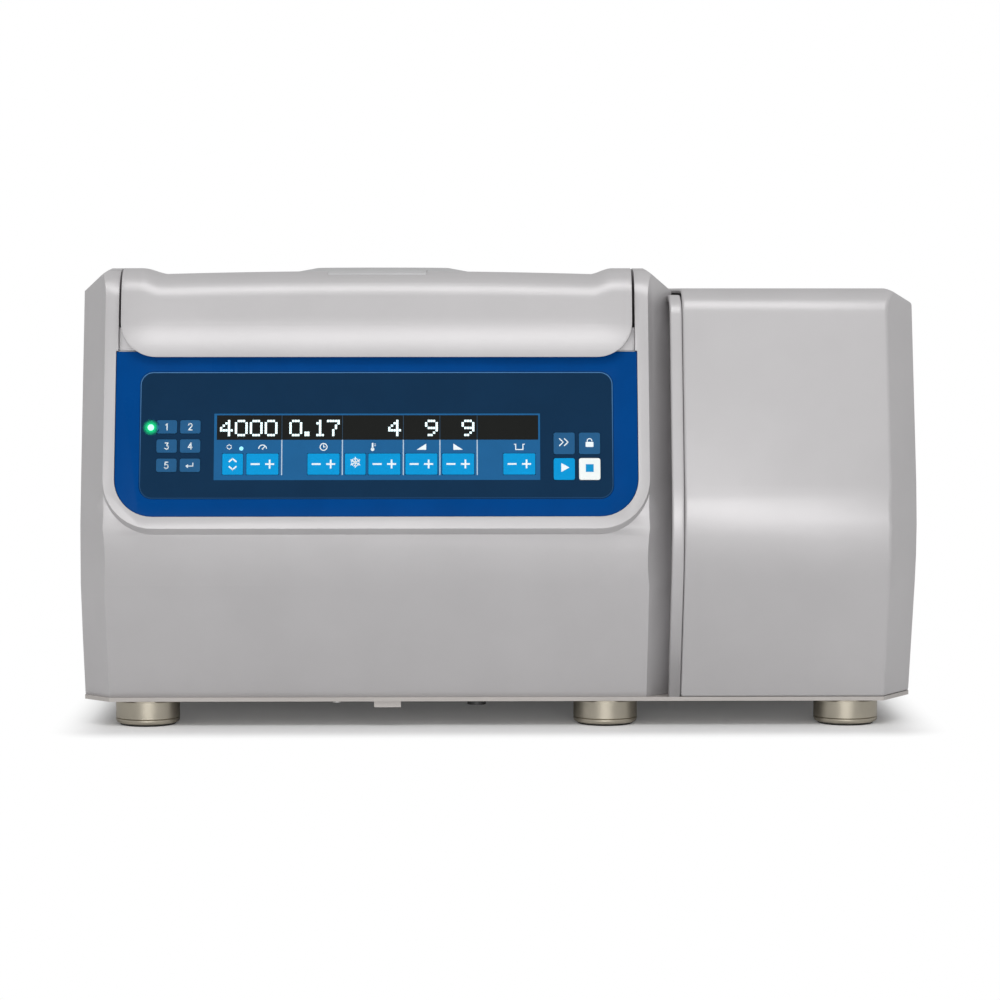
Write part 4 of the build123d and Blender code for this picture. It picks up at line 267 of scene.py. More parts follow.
def node(tree, kind, settings=None, links=None):
    """Adds a shader node. Settings are attributes or inputs, links go from (node, output) to an input."""
    made = tree.nodes.new("ShaderNode" + kind)
    for key, value in (settings or {}).items():
        if isinstance(key, str) and hasattr(made, key):
            setattr(made, key, value)
        else:
            made.inputs[key].default_value = value
    for key, source in (links or {}).items():
        wire(tree, source, made, key)
    return made


def surface(name, settings):
    """A material with one Principled shader whose constants sit on its own sockets."""
    material = bpy.data.materials.new(name)
    material.use_nodes = True
    tree = material.node_tree
    shader = tree.nodes["Principled BSDF"]
    for key, value in settings.items():
        shader.inputs[key].default_value = value
    return material, tree, shader


def object_place(tree):
    """Link from the object's own coordinates."""
    return node(tree, "TexCoord"), "Object"


def noise_texture(tree, size_mm, detail, source=None):
    """Noise of a given grain size over object coordinates, or over another node's vector."""
    return node(tree, "TexNoise", {"Scale": 1 / (size_mm * MM), "Detail": detail},
                {"Vector": source or object_place(tree)})


def remap(tree, source, start, end, low=0.0, high=1.0, kind="LINEAR"):
    """Link from a value whose range, start to end, is mapped on to low to high."""
    return node(tree, "MapRange", {
        "interpolation_type": kind, "From Min": start, "From Max": end, "To Min": low, "To Max": high,
    }, {"Value": source}), "Result"


def wire(tree, source, target, socket):
    """Links a (node, output) to a node's input socket."""
    tree.links.new(source[0].outputs[source[1]], target.inputs[socket])


def bump_from(tree, shader, texture, depth_mm, strength=1.0):
    """Bump of a texture's value, for a given depth in millimetres."""
    bump = node(tree, "Bump", {"Strength": strength, "Distance": depth_mm * MM},
                {"Height": (texture, "Fac")})
    wire(tree, (bump, "Normal"), shader, "Normal")


def grain(tree, shader, size_mm, depth_mm):
    """Fine bump of a given grain size and depth."""
    bump_from(tree, shader, noise_texture(tree, size_mm, detail=2.0), depth_mm)


def mottle(tree, shader, light, dark, size_mm):
    """Slow colour variation between two close tones."""
    noise = noise_texture(tree, size_mm, detail=3.0)
    ramp = node(tree, "ValToRGB", links={"Fac": (noise, "Fac")})
    for stop, place, colour in zip(ramp.color_ramp.elements, (0.35, 0.65), (dark, light)):
        stop.position = place
        stop.color = colour
    wire(tree, (ramp, "Color"), shader, "Base Color")


def smudges(tree, shader, low, high, size_mm):
    """Roughness that drifts between two values, as on a surface that is wiped by hand."""
    noise = noise_texture(tree, size_mm, detail=4.0)
    wire(tree, remap(tree, (noise, "Fac"), 0.3, 0.7, low, high), shader, "Roughness")


def two_tone(name, settings, pair, drift_mm, grain_mm=0.0, depth_mm=0.0):
    """A material whose colour drifts between two tones, with a fine grain where one is given."""
    material, tree, shader = surface(name, settings)
    mottle(tree, shader, *pair, drift_mm)
    if grain_mm:
        grain(tree, shader, grain_mm, depth_mm)
    return material


# ---- Finishes ----
def silver_lacquer():
    """Silver structure lacquer on moulded covers: satin, with a faint orange-peel skin."""
    colour = tuple(bpy.context.scene.centrifuge_finish.housing_colour) + (1.0,)
    settings = {"Metallic": 0.3, "Roughness": 0.38, "Specular IOR Level": 0.4}
    return two_tone("silver_structure_lacquer", settings, tones(colour, 0.965), 60.0,
                    grain_mm=1.1, depth_mm=0.012)


def sprayed_steel(name, code, roughness=0.45):
    """Powder-coated sheet steel: even colour with a fine pebbled skin."""
    return two_tone(name, {"Roughness": roughness, "IOR": 1.5}, tones(linear(code), 0.94), 40.0,
                    grain_mm=0.7, depth_mm=0.02)


def satin_aluminium(name, code, roughness=0.34, turned=False):
    """Anodised aluminium: soft metallic sheen, with fine lathe rings where it was turned."""
    material, tree, shader = surface(name, {"Metallic": 1.0, "Roughness": roughness})
    mottle(tree, shader, *tones(linear(code), 0.9), size_mm=25.0)
    if turned:
        ring_mm, bands_per_unit = 1.2, 20
        rings = node(tree, "TexWave", {
            "wave_type": "BANDS", "bands_direction": "Z", "Scale": 1 / (ring_mm * MM) / bands_per_unit,
            "Distortion": 0.4,
        }, {"Vector": object_place(tree)})
        bump_from(tree, shader, rings, depth_mm=0.02, strength=0.4)
    else:
        grain(tree, shader, size_mm=0.5, depth_mm=0.006)
    return material


def brushed_steel(name, code, roughness=0.3, along=(1.0, 1.0, 40.0)):
    """Brushed stainless steel: metal with fine scratches drawn along one direction."""
    material, tree, shader = surface(name, {
        "Base Color": linear(code), "Metallic": 1.0, "Roughness": roughness, "Anisotropic": 0.4,
    })
    stretch = node(tree, "Mapping", {"Scale": along}, {"Vector": object_place(tree)})
    noise = noise_texture(tree, 9.0, detail=5.0, source=(stretch, "Vector"))
    span = remap(tree, (noise, "Fac"), 0.0, 1.0, roughness - 0.08, roughness + 0.12)
    wire(tree, span, shader, "Roughness")
    bump_from(tree, shader, noise, depth_mm=0.01, strength=0.3)
    return material


def moulded_plastic(name, code, roughness=0.45, grain_mm=0.8, shine=0.5):
    """Injection-moulded plastic: satin with a faint spark-eroded texture."""
    material, tree, shader = surface(name, {
        "Roughness": roughness, "IOR": 1.54, "Specular IOR Level": shine,
    })
    mottle(tree, shader, *tones(linear(code), 0.93), size_mm=30.0)
    grain(tree, shader, grain_mm, depth_mm=0.01)
    smudges(tree, shader, roughness - 0.05, roughness + 0.06, size_mm=45.0)
    return material


def black_rubber():
    """Moulded nitrile rubber: nearly black and matt, with a dusty bloom."""
    pair = (linear("#2b2b2a"), linear("#1d1d1c"))
    return two_tone("nitrile_rubber", {"Roughness": 0.75, "IOR": 1.52}, pair, 12.0,
                    grain_mm=0.6, depth_mm=0.03)


def printed_ink(name, code, roughness=0.5):
    """Screen-printed ink: thin, opaque and even, with a slight tooth."""
    return two_tone(name, {"Roughness": roughness, "Specular IOR Level": 0.05},
                    tones(linear(code), 0.96), 15.0, grain_mm=0.4, depth_mm=0.003)


def lit_element(name, code, strength):
    """A lit display dot or lamp: emits its own colour evenly."""
    colour = linear(code)
    return surface(name, {
        "Roughness": 0.4, "Emission Strength": strength, "Base Color": colour, "Emission Color": colour,
    })[0]


def lamp_glow(name, code, centre, radius_mm):
    """Light of a lamp scattered in the overlay: full at the lamp and gone at its radius."""
    material, tree, shader = surface(name, {
        "Roughness": 0.5, "Specular IOR Level": 0.03, "Emission Strength": 0.7,
        "Base Color": linear(code), "Emission Color": linear(code),
    })
    middle = panel_points(*centre, OVERLAY_FACE).tolist()
    offset = node(tree, "VectorMath", {"operation": "SUBTRACT", 1: middle}, {0: object_place(tree)})
    reach = node(tree, "VectorMath", {"operation": "LENGTH"}, {0: (offset, "Vector")})
    fade = remap(tree, (reach, "Value"), 0.0, radius_mm * MM, 0.6, 0.0, "SMOOTHSTEP")
    wire(tree, fade, shader, "Alpha")
    return material


def painted_edge_highlight():
    """Edge of the overlay with a painted highlight: lighter blue along its upper part, where light would
    catch it.
    """
    material, tree, shader = surface("overlay_edge_painted_highlight", {"Roughness": 0.35, "Specular IOR Level": 0.1})
    split = node(tree, "SeparateXYZ", links={0: object_place(tree)})
    height = remap(tree, (split, "Z"), EDGE_DIM_Z * MM, EDGE_BRIGHT_Z * MM)
    # Sockets 6 and 7 are the two colours that are mixed, and output 2 is their mix.
    # Painted highlight: dark blue low on the edge, turning to light blue high on it.
    colours = node(tree, "Mix", {"data_type": "RGBA", 6: linear("#174068"), 7: linear("#4777a8")},
                   {0: height})
    wire(tree, (colours, 2), shader, "Base Color")
    return material


def clear_polycarbonate():
    """Clear polycarbonate: slightly smoky with a polished skin."""
    settings = {"Roughness": 0.08, "IOR": 1.58, "Transmission Weight": 0.85}
    return two_tone("clear_polycarbonate", settings, (linear("#e6ebee"), linear("#dde3e6")), 40.0)


def rigid_foam():
    """Cast polyurethane foam: pale yellow with small closed cells."""
    pair = (linear("#ead9a6"), linear("#d8c48c"))
    return two_tone("polyurethane_foam", {"Roughness": 0.9}, pair, 8.0, grain_mm=2.0, depth_mm=0.3)


def drawn_copper():
    """Drawn copper tube: warm metal with a light brown tarnish."""
    pair = (linear("#c87a54"), linear("#9c5a3c"))
    return two_tone("drawn_copper", {"Metallic": 1.0, "Roughness": 0.3}, pair, 14.0)


def circuit_laminate():
    """Glass-epoxy circuit board: green solder mask over faint copper tracks."""
    pair = (linear("#1f6b3a"), linear("#15522b"))
    return two_tone("circuit_laminate", {"Roughness": 0.35, "Coat Weight": 0.3}, pair, 3.0)


def node_finishes():
    """The finish of every material slot."""
    unbrushed = (1.0, 1.0, 1.0)
    return {
        "silver_housing": silver_lacquer(),
        "silver_sheet": sprayed_steel("powder_coated_rear_steel", "#bcbabb"),
        "light_sheet_metal": sprayed_steel("powder_coated_tray_steel", "#b4afab", 0.4),
        "grey_deck": sprayed_steel("powder_coated_deck_steel", "#9a9a9c"),
        "grey_liner": sprayed_steel("powder_coated_liner_steel", "#a8a8aa"),
        "champagne_metal": satin_aluminium("champagne_anodised_aluminium", "#b8b1a2", 0.36),
        "black_rubber": black_rubber(),
        "blue_frame": moulded_plastic("blue_moulded_abs", "#004387", 0.3, shine=0.03),
        "dark_overlay": moulded_plastic("dark_polyester_overlay", "#12314e", 0.35, 0.5, shine=0.03),
        "dark_key": moulded_plastic("blue_silicone_key", "#265c88", 0.35, 0.5, shine=0.06),
        "cyan_key": moulded_plastic("cyan_silicone_key", "#0398d8", 0.35, 0.5, shine=0.06),
        "white_key": moulded_plastic("white_silicone_key", "#f6fbf9", 0.35, 0.5, shine=0.1),
        "circuit_board": circuit_laminate(),
        "stainless": brushed_steel("brushed_stainless_steel", "#c9c9c8", 0.26),
        "screw_steel": brushed_steel("zinc_plated_steel", "#b0b0ae", 0.35, unbrushed),
        "guard_steel": sprayed_steel("primed_steel", "#4e5052", 0.55),
        "shaft_steel": brushed_steel("ground_steel", "#b4b4b5", 0.22, (1.0, 1.0, 8.0)),
        "spring_steel": brushed_steel("oiled_spring_steel", "#6b6b6d", 0.32, unbrushed),
        "foam": rigid_foam(),
        "copper_tube": drawn_copper(),
        "motor_aluminium": satin_aluminium("die_cast_aluminium", "#8f9193", 0.5),
        "rotor_aluminium": satin_aluminium("grey_anodised_aluminium", "#6f7276", 0.3, turned=True),
        "white_plastic": moulded_plastic("white_polypropylene", "#efefea", 0.42),
        "clear_plastic": clear_polycarbonate(),
        "port_plastic": moulded_plastic("light_grey_abs", "#b9b9ba", 0.45),
        "black_paint": sprayed_steel("black_enamel", "#202021", 0.35),
        "black_plastic": moulded_plastic("black_abs", "#1d1d1e", 0.42),
        "fin_aluminium": satin_aluminium("mill_finish_aluminium", "#c4c6c8", 0.3),
    }


def print_finishes():
    """The inks, lit dots and lamps of the control panel, and the painted highlight of the overlay's edge.
    """
    return {
        "white_ink": printed_ink("white_screen_ink", "#eef7fb"),
        "blue_ink": printed_ink("blue_screen_ink", "#206093"),
        "cyan_ink": printed_ink("cyan_screen_ink", "#1493cd"),
        "line_ink": printed_ink("pale_line_ink", "#b4c9dc"),
        "display_glass": printed_ink("smoked_display_window", "#1e1f1e", 0.3),
        "display_dot": lit_element("lit_display_dot", "#e4fbff", 0.55),
        "green_lamp": lit_element("green_lamp", "#a9ffd2", 0.8),
        "green_glow": lamp_glow("green_lamp_glow", "#1fd88a", PROGRAM_LAMP, GLOW_RADIUS),
        "window_line": printed_ink("dim_window_line", "#31475a", 0.3),
        "edge_highlight_paint": painted_edge_highlight(),
        "cyan_lamp": lit_element("cyan_lamp", "#8fe3ff", 0.5),
    }


def build_finishes():
    """Makes every finish and gives each CAD node the one that its slot names."""
    FINISHES.update(node_finishes())
    for name, cad in frame["nodes"].items():
        cad.data.materials.clear()
        cad.data.materials.append(FINISHES[SLOTS[name]])
    FINISHES.update(print_finishes())


# ---- Mesh helpers ----
def panel_points(u, v, w):
    """Panel coordinates in millimetres to places in metres: across, up the lean and into the panel."""
    u, v, w = np.broadcast_arrays(u, v, w)
    x = MIDDLE + u
    y = FRONT + v * math.sin(UPPER_LEAN) + w * math.cos(UPPER_LEAN)
    z = BELLY_Z + v * math.cos(UPPER_LEAN) - w * math.sin(UPPER_LEAN)
    return np.stack([x, y, z], axis=-1) * MM


def scene_object(name, data):
    """Makes an object of a mesh, a light or a camera and puts it into the scene."""
    made = bpy.data.objects.new(name, data)
    bpy.context.scene.collection.objects.link(made)
    return made


def add_piece(name, mesh, finish, body):
    """Puts a mesh into the scene with one finish, riding on a body."""
    mesh.materials.clear()
    mesh.materials.append(FINISHES[finish])
    piece = scene_object(name, mesh)
    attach(piece, body)
    return piece


def array_mesh(name, vertices, faces):
    """Mesh made from an array of places and a list of faces."""
    mesh = bpy.data.meshes.new(name)
    mesh.from_pydata(vertices.tolist(), [], faces)
    mesh.update()
    return mesh


def mesh_vectors(mesh, kind):
    """Every vertex's place ("co") or normal ("normal") as one array."""
    flat = np.empty(3 * len(mesh.vertices), np.float32)
    mesh.vertices.foreach_get(kind, flat)
    return flat.reshape(-1, 3)


def place_vertices(mesh, points):
    """Puts every vertex at its place, given in millimetres."""
    mesh.vertices.foreach_set("co", (points * MM).ravel())


def cut_grid(mesh, cuts):
    """Cuts a mesh along planes, each given as a place in millimetres and an axis number."""
    form = bmesh.new()
    form.from_mesh(mesh)
    for place, axis in cuts:
        normal = np.eye(3)[axis]
        bmesh.ops.bisect_plane(form, geom=form.verts[:] + form.edges[:] + form.faces[:],
                               plane_co=normal * place * MM, plane_no=normal)
    form.to_mesh(mesh)
    form.free()


# ---- Covers ----
def merged_form(name):
    """Copy of a node's form with its loose triangles joined and its flat faces made whole."""
    mesh = frame["nodes"][name].data.copy()
    form = bmesh.new()
    form.from_mesh(mesh)
    bmesh.ops.remove_doubles(form, verts=form.verts, dist=MERGE_DISTANCE * MM)
    bmesh.ops.dissolve_limit(form, angle_limit=FACET_ANGLE, verts=form.verts, edges=form.edges)
    form.to_mesh(mesh)
    form.free()
    mesh.shade_smooth()
    return mesh


def round_edges(piece, radius_mm):
    """Rounds every arris of a piece that is sharper than SHARP_ANGLE."""
    rounding = piece.modifiers.new("broken_edges", "BEVEL")
    rounding.width = radius_mm * MM
    rounding.segments = EDGE_SEGMENTS
    rounding.limit_method = "ANGLE"
    rounding.angle_limit = SHARP_ANGLE
    rounding.harden_normals = True
    rounding.use_clamp_overlap = True


def cover_piece(name, mesh, body):
    """Puts a cover's mesh in the node's place, with the finish of the node's slot."""
    mesh.name = name + "_cover"
    piece = add_piece(mesh.name, mesh, SLOTS[name], body)
    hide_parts(name)
    return piece


def rounded_cover(name, mesh):
    """Puts a cover's mesh in the node's place and rounds its arrises."""
    body, radius = EDGE_ROUNDS[name]
    round_edges(cover_piece(name, mesh, body), radius)


def rear_fall(points):
    """How far the covers' tops fall towards the rear, in millimetres.

    REAR_FALL times a smooth step from the front corner back, and times a straight rise with height, so
    that only the upper part of a cover moves.
    """
    back = np.clip((points[:, 1] - FALL_START) / (FALL_END - FALL_START), 0.0, 1.0)
    rise = np.clip((points[:, 2] - FALL_LOW) / (FALL_HIGH - FALL_LOW), 0.0, 1.0)
    return REAR_FALL * back * back * (3.0 - 2.0 * back) * rise


def fall_cuts():
    """Cuts from front to rear that let a cover's top follow the fall."""
    return [(place, 1) for place in np.arange(FALL_START, FALL_END + 1.0, FALL_STEP)]


def casing_mesh():
    """Drive casing, whose top falls a little from the front corner to the rear."""
    mesh = merged_form("main_casing")
    cut_grid(mesh, fall_cuts())
    points = mesh_vectors(mesh, "co") / MM
    points[:, 2] -= rear_fall(points)
    place_vertices(mesh, points)
    mesh.update()
    return mesh


# ---- Lid ----
def flank_step(x):
    """Smooth step across each flank: 0 on the lid's raised ends and 1 between the flanks."""
    step = np.clip((LID_HALF - LID_BAND - np.abs(x)) / LID_FLANK, 0.0, 1.0)
    return step * step * (3.0 - 2.0 * step)


def nose_centre(drop):
    """Centre (y, z) of the quarter round that touches the nose's leaning line and the level top."""
    top = LID_HIGH[2] - drop
    belly_y = LID_LOW[1] + LID_BELLY_RADIUS * (1.0 - math.cos(UPPER_LEAN))
    corner_y = belly_y + (top - LID_HIGH[2] + LID_BELLY_DROP) * math.tan(UPPER_LEAN)
    return corner_y + LID_NOSE_ROUND * math.tan((math.pi / 2 - UPPER_LEAN) / 2), top - LID_NOSE_ROUND


def near_round(points, normals, centre_y, centre_z, radius):
    """Points near a round that face out of it, and every point's place on it.

    The round runs along x. A point's place is the centre plus its offset, scaled to the radius.
    """
    away_y, away_z = points[:, 1] - centre_y, points[:, 2] - centre_z
    reach = np.hypot(away_y, away_z)
    near = np.abs(reach - radius) < OUTER_REACH
    near &= normals[:, 1] * away_y + normals[:, 2] * away_z > 0.5 * reach
    scale = radius / np.maximum(reach, 1.0)
    return near, np.stack([points[:, 0], centre_y + away_y * scale, centre_z + away_z * scale], axis=1)


def settled_outer(points, normals):
    """Moves the outer skin's points on to one smooth form.

    Seen from the side it is a leaning nose, a quarter round, a level top and a round rear end. Its top
    lies lower between the two ends by LID_SCOOP + LID_CROWN_FALL (x / half) squared, times a smooth step
    from 0 to 1 across each end's flank. A point is on the skin if it is near the form and faces out.
    """
    x, y, z = points[:, 0] - LID_MIDDLE, points[:, 1], points[:, 2]
    drop = flank_step(x) * (LID_SCOOP + LID_CROWN_FALL * (x / LID_HALF) ** 2)
    inner = np.abs(x) < LID_HALF - LID_BAND + 1.0
    nose_y, nose_z = nose_centre(drop)
    rear_y, rear_z = LID_HIGH[1] - LID_END_RADIUS, LID_HIGH[2] - LID_END_RADIUS
    nose, nose_places = near_round(points, normals, nose_y, nose_z, LID_NOSE_ROUND)
    nose &= inner & (y <= nose_y) & (z - nose_z > (nose_y - y) * math.tan(UPPER_LEAN))
    rear, rear_places = near_round(points, normals, rear_y, rear_z, LID_END_RADIUS - drop)
    rear &= inner & (y > rear_y)
    top = inner & (y > nose_y) & (y <= rear_y) & (np.abs(z - LID_HIGH[2] + drop) < OUTER_REACH)
    top &= normals[:, 2] > 0.7
    settled = points.copy()
    settled[nose] = nose_places[nose]
    settled[rear] = rear_places[rear]
    settled[top, 2] = (LID_HIGH[2] - drop)[top]
    return settled


def belly_pull(x, z):
    """How far the nose is drawn back, in mm: a parabola of the distance inside its rounded outline.

    The outline is a rectangle with quarter-round lower corners. The distance inside it is d, and the pull
    is BELLY_PULL (1 - d / BELLY_DEPTH) squared, lessened towards the upright ends, where d is measured
    sideways, and without the part that the form already has along its lower edge.
    """
    across = LID_HALF - np.abs(x)
    up = z - LID_LOW[2]
    side = np.clip(NOSE_CORNER - across, 0.0, None)
    down = np.clip(NOSE_CORNER - up, 0.0, None)
    reach = np.hypot(side, down)
    inside = np.where(reach > 0.0, NOSE_CORNER - reach, np.minimum(across, up))
    share = (side / np.maximum(reach, 1e-6)) ** 2
    full = BELLY_PULL * np.clip(1.0 - inside / BELLY_DEPTH, 0.0, 1.0) ** 2
    had = BELLY_PULL * np.clip(1.0 - up / BELLY_DEPTH, 0.0, 1.0) ** 2
    return np.clip(full * (1.0 - (1.0 - END_SHARE) * share) - had, 0.0, None)


def rounded_lid():
    """Mesh of the lid with rounded arrises."""
    scratch = scene_object("lid_scratch", merged_form("lid_shell"))
    round_edges(scratch, LID_END_ROUND)
    graph = bpy.context.evaluated_depsgraph_get()
    mesh = bpy.data.meshes.new_from_object(scratch.evaluated_get(graph))
    bpy.data.objects.remove(scratch)
    return mesh


def lid_mesh():
    """Lid cover: rounded arrises, then a grid of cuts, whose points take the smooth outer form."""
    mesh = rounded_lid()
    heights = np.arange(LID_LOW[2] + LID_HEIGHT_STEP, LID_HIGH[2] - LID_TOP_MARGIN, LID_HEIGHT_STEP)
    cuts = [(LID_MIDDLE + side * (LID_HALF - step), 0) for side in (-1, 1) for step in LID_END_CUTS]
    cuts += [(height, 2) for height in heights]
    cut_grid(mesh, cuts + fall_cuts())
    points = mesh_vectors(mesh, "co") / MM
    points = settled_outer(points, mesh_vectors(mesh, "normal"))
    x = points[:, 0] - LID_MIDDLE
    points[:, 2] -= rear_fall(points) * (1.0 - flank_step(x))
    front = np.clip((LID_LOW[1] + NOSE_REACH - points[:, 1]) / NOSE_FADE, 0.0, 1.0)
    points[:, 1] += front * belly_pull(x, points[:, 2])
    place_vertices(mesh, points)
    mesh.shade_smooth()
    mesh.set_sharp_from_angle(angle=SHARP_ANGLE)
    mesh.update()
    return mesh


# ---- Bulkhead's front edge ----
def front_line(top):
    """Front of the units seen from the side, in mm: lean, arc, lean and a quarter round to the top.

    The belly's arc has radius BELLY_RADIUS and touches both leaning lines; its turn goes from the lower
    lean to the upper one. The quarter round at the top touches the upper line and the level top.
    """
    front = CAD_BOX[0][1] / MM
    centre_y = front + BELLY_RADIUS / math.cos(UPPER_LEAN)
    turn = np.linspace(-LOWER_LEAN, UPPER_LEAN, BELLY_STEPS)
    belly = np.stack([centre_y - BELLY_RADIUS * np.cos(turn),
                      BELLY_Z + BELLY_RADIUS * np.sin(turn)], axis=1)
    foot = belly[0] + (belly[0, 1] - CASING_LOW[2]) * np.array([math.tan(LOWER_LEAN), -1.0])
    corner_y = front + (top - BELLY_Z) * math.tan(UPPER_LEAN)
    round_y = corner_y + BEAD_TOP_ROUND * math.tan((math.pi / 2 - UPPER_LEAN) / 2)
    rise = np.linspace(UPPER_LEAN, math.pi / 2, BELLY_STEPS // 2)
    nose = np.stack([round_y - BEAD_TOP_ROUND * np.cos(rise),
                     top - BEAD_TOP_ROUND + BEAD_TOP_ROUND * np.sin(rise)], axis=1)
    return np.concatenate([foot[None, :], belly, nose, [[round_y + BEAD_TOP_RUN, top]]])


def bead_section():
    """Bead across its run, as (x, depth): a rectangle with two front corners of BEAD_ROUND."""
    right = node_box("cooling_casing")[0][0] - BEAD_GAP
    turn = np.linspace(0.0, math.pi / 2, 5)
    round_x = BEAD_ROUND * (1.0 - np.cos(turn))
    round_d = BEAD_ROUND * (1.0 - np.sin(turn))
    return np.concatenate([
        [[BEAD_LEFT, BEAD_DEPTH]], np.stack([BEAD_LEFT + round_x, round_d], axis=1),
        np.stack([right - round_x[::-1], round_d[::-1]], axis=1), [[right, BEAD_DEPTH]],
    ])


def bulkhead_bead():
    """Rolled front edge of the bulkhead: a rounded bar carried along the units' front line.

    A section point (x, depth) goes to x and to the line's point moved inwards by the depth, along the
    line's own normal.
    """
    line = front_line(node_box("bulkhead")[1][2] + BEAD_RISE)
    along = np.gradient(line, axis=0)
    along /= np.linalg.norm(along, axis=1)[:, None]
    inward = np.stack([along[:, 1], -along[:, 0]], axis=1)
    section = bead_section()
    rows, cols = len(line), len(section)
    points = np.empty((rows, cols, 3))
    points[:, :, 0] = section[None, :, 0]
    points[:, :, 1:] = line[:, None, :] + section[None, :, 1:2] * inward[:, None, :]
    index = np.arange(rows * cols).reshape(rows, cols)
    ahead = np.roll(index, -1, axis=1)
    quads = np.stack([index[:-1], ahead[:-1], ahead[1:], index[1:]], axis=-1).reshape(-1, 4)
    faces = quads.tolist() + [index[0, ::-1].tolist(), index[-1].tolist()]
    mesh = array_mesh("bulkhead_bead", points.reshape(-1, 3) * MM, faces)
    mesh.shade_smooth()
    add_piece("bulkhead_bead", mesh, "silver_housing", "housing")


# ---- Flat print shapes, as outlines of (u, v) points ----
def arc(u, v, radius, turn):
    """Points of a circle at the given turns: middle plus radius times cosine and sine."""
    return np.stack([u + radius * np.cos(turn), v + radius * np.sin(turn)], axis=-1)


def disc(u, v, radius, count=28):
    """Circle outline."""
    return arc(u, v, radius, np.linspace(0, 2 * math.pi, count, endpoint=False))


def bar(u0, u1, v0, v1):
    """Rectangle outline."""
    return np.array([(u0, v0), (u1, v0), (u1, v1), (u0, v1)])


def rounded_bar(u0, u1, v0, v1, radius, count=6):
    """Rectangle outline with a quarter circle at each corner."""
    turn = np.linspace(0, math.pi / 2, count)
    corners = [(u1 - radius, v1 - radius, 0), (u0 + radius, v1 - radius, 1),
               (u0 + radius, v0 + radius, 2), (u1 - radius, v0 + radius, 3)]
    return np.concatenate([arc(u, v, radius, turn + quarter * math.pi / 2) for u, v, quarter in corners])


def stroke(a, b, width):
    """Straight stroke from a to b with square ends, as a rectangle along the line."""
    a, b = np.array(a, float), np.array(b, float)
    along = (b - a) / np.linalg.norm(b - a) * width / 2
    side = np.array([-along[1], along[0]])
    return np.array([a - along - side, b + along - side, b + along + side, a - along + side])


def ring(u, v, inner, outer, start=0.0, end=360.0, count=24):
    """Ring or ring sector: outer arc, then inner arc back."""
    turn = np.radians(np.linspace(start, end, count))
    return np.concatenate([arc(u, v, outer, turn), arc(u, v, inner, turn[::-1])])


def print_piece(name, outlines, face_w, finish, body="housing",
                height=PRINT_HEIGHT):
    """Thin raised print: each outline is carried from the face it lies on to its own height."""
    vertices, faces = [], []
    start = 0
    for outline in outlines:
        count = len(outline)
        low = start + np.arange(count)
        ahead = start + (np.arange(count) + 1) % count
        vertices += [panel_points(outline[:, 0], outline[:, 1], w) for w in (face_w, face_w - height)]
        faces += [(low + count).tolist(), low[::-1].tolist()]
        faces += np.stack([low, ahead, ahead + count, low + count], axis=1).tolist()
        start += 2 * count
    add_piece(name, array_mesh(name, np.concatenate(vertices), faces), finish, body)


# ---- Prints of the display ----
def key_span(name):
    """Left and right edge of a key, across the panel."""
    low, high = node_box(name)
    return low[0] - MIDDLE, high[0] - MIDDLE


def key_middle(name):
    """Middle of a key, across the panel."""
    return sum(key_span(name)) / 2


def separator_lines(low, high, half_width):
    """Upright lines between the display's fields."""
    return [bar(u - half_width, u + half_width, low, high) for u in SEPARATORS]


def digit_dots(text, left):
    """Outlines of the lit dots of a row of digits."""
    shapes = []
    for place, character in enumerate(text):
        for row, line in enumerate(DOT_PATTERNS[character]):
            for column, lit in enumerate(line):
                if lit == "1":
                    u = left + place * DIGIT_ADVANCE + column * DOT_PITCH_U
                    v = DIGIT_TOP - (row + 1) * DOT_PITCH_V
                    shapes.append(bar(u, u + DOT_SIZE, v, v + DOT_SIZE))
    return shapes


def display_field():
    """Lighter blue field round the display, left open round each tile."""
    u0, u1, v0, v1 = DISPLAY
    low, high = TILE_LOW - TILE_GAP, TILE_HIGH + TILE_GAP
    shapes = [bar(u0, u1, v0, low), bar(u0, u1, high, WINDOW[2]), bar(u0, u1, WINDOW[3], v1),
              bar(u0, WINDOW[0], WINDOW[2], WINDOW[3]), bar(WINDOW[1], u1, WINDOW[2], WINDOW[3])]
    edges = [u0]
    for name in TILES:
        left, right = key_span(name)
        edges += [left - TILE_GAP, right + TILE_GAP]
    edges.append(u1)
    return shapes + [bar(left, right, low, high) for left, right in zip(edges[::2], edges[1::2])]


def overlay_edge():
    """Thin line just inside the overlay's outline, as short bars between two rounded outlines, which
    carries the edge's painted highlight.
    """
    u0, u1, v0, v1 = OVERLAY_BOX
    outer = rounded_bar(u0, u1, v0, v1, OVERLAY_CORNER, 8)
    inner = rounded_bar(u0 + EDGE_WIDTH, u1 - EDGE_WIDTH, v0 + EDGE_WIDTH, v1 - EDGE_WIDTH,
                        OVERLAY_CORNER - EDGE_WIDTH, 8)
    strips = np.stack([outer, np.roll(outer, -1, axis=0), np.roll(inner, -1, axis=0), inner], axis=1)
    return list(strips)


# ---- Marks, each drawn round the origin ----
def moved(shapes, place):
    """The same outlines, moved to a place (u, v)."""
    return [shape + place for shape in shapes]


def chevron(half, rise, width):
    """Open arrow head of two strokes."""
    return [stroke((-half, 0), (0, rise), width), stroke((0, rise), (half, 0), width)]


def up_and_down(gap, half, rise, width):
    """Two open arrow heads, one up and one down, each set off from the middle by the gap."""
    return moved(chevron(half, rise, width), (0, gap)) + moved(chevron(half, -rise, width), (0, -gap))


def minus_plus():
    """A minus on the left and a plus on the right of a rocking key."""
    half = SIGN_WIDTH / 2
    minus = bar(-SIGN_REACH, SIGN_REACH, -half, half)
    plus = [minus, bar(-half, half, half, SIGN_REACH), bar(-half, half, -SIGN_REACH, -half)]
    return moved([minus], (-SIGN_OFFSET, 0)) + moved(plus, (SIGN_OFFSET, 0))


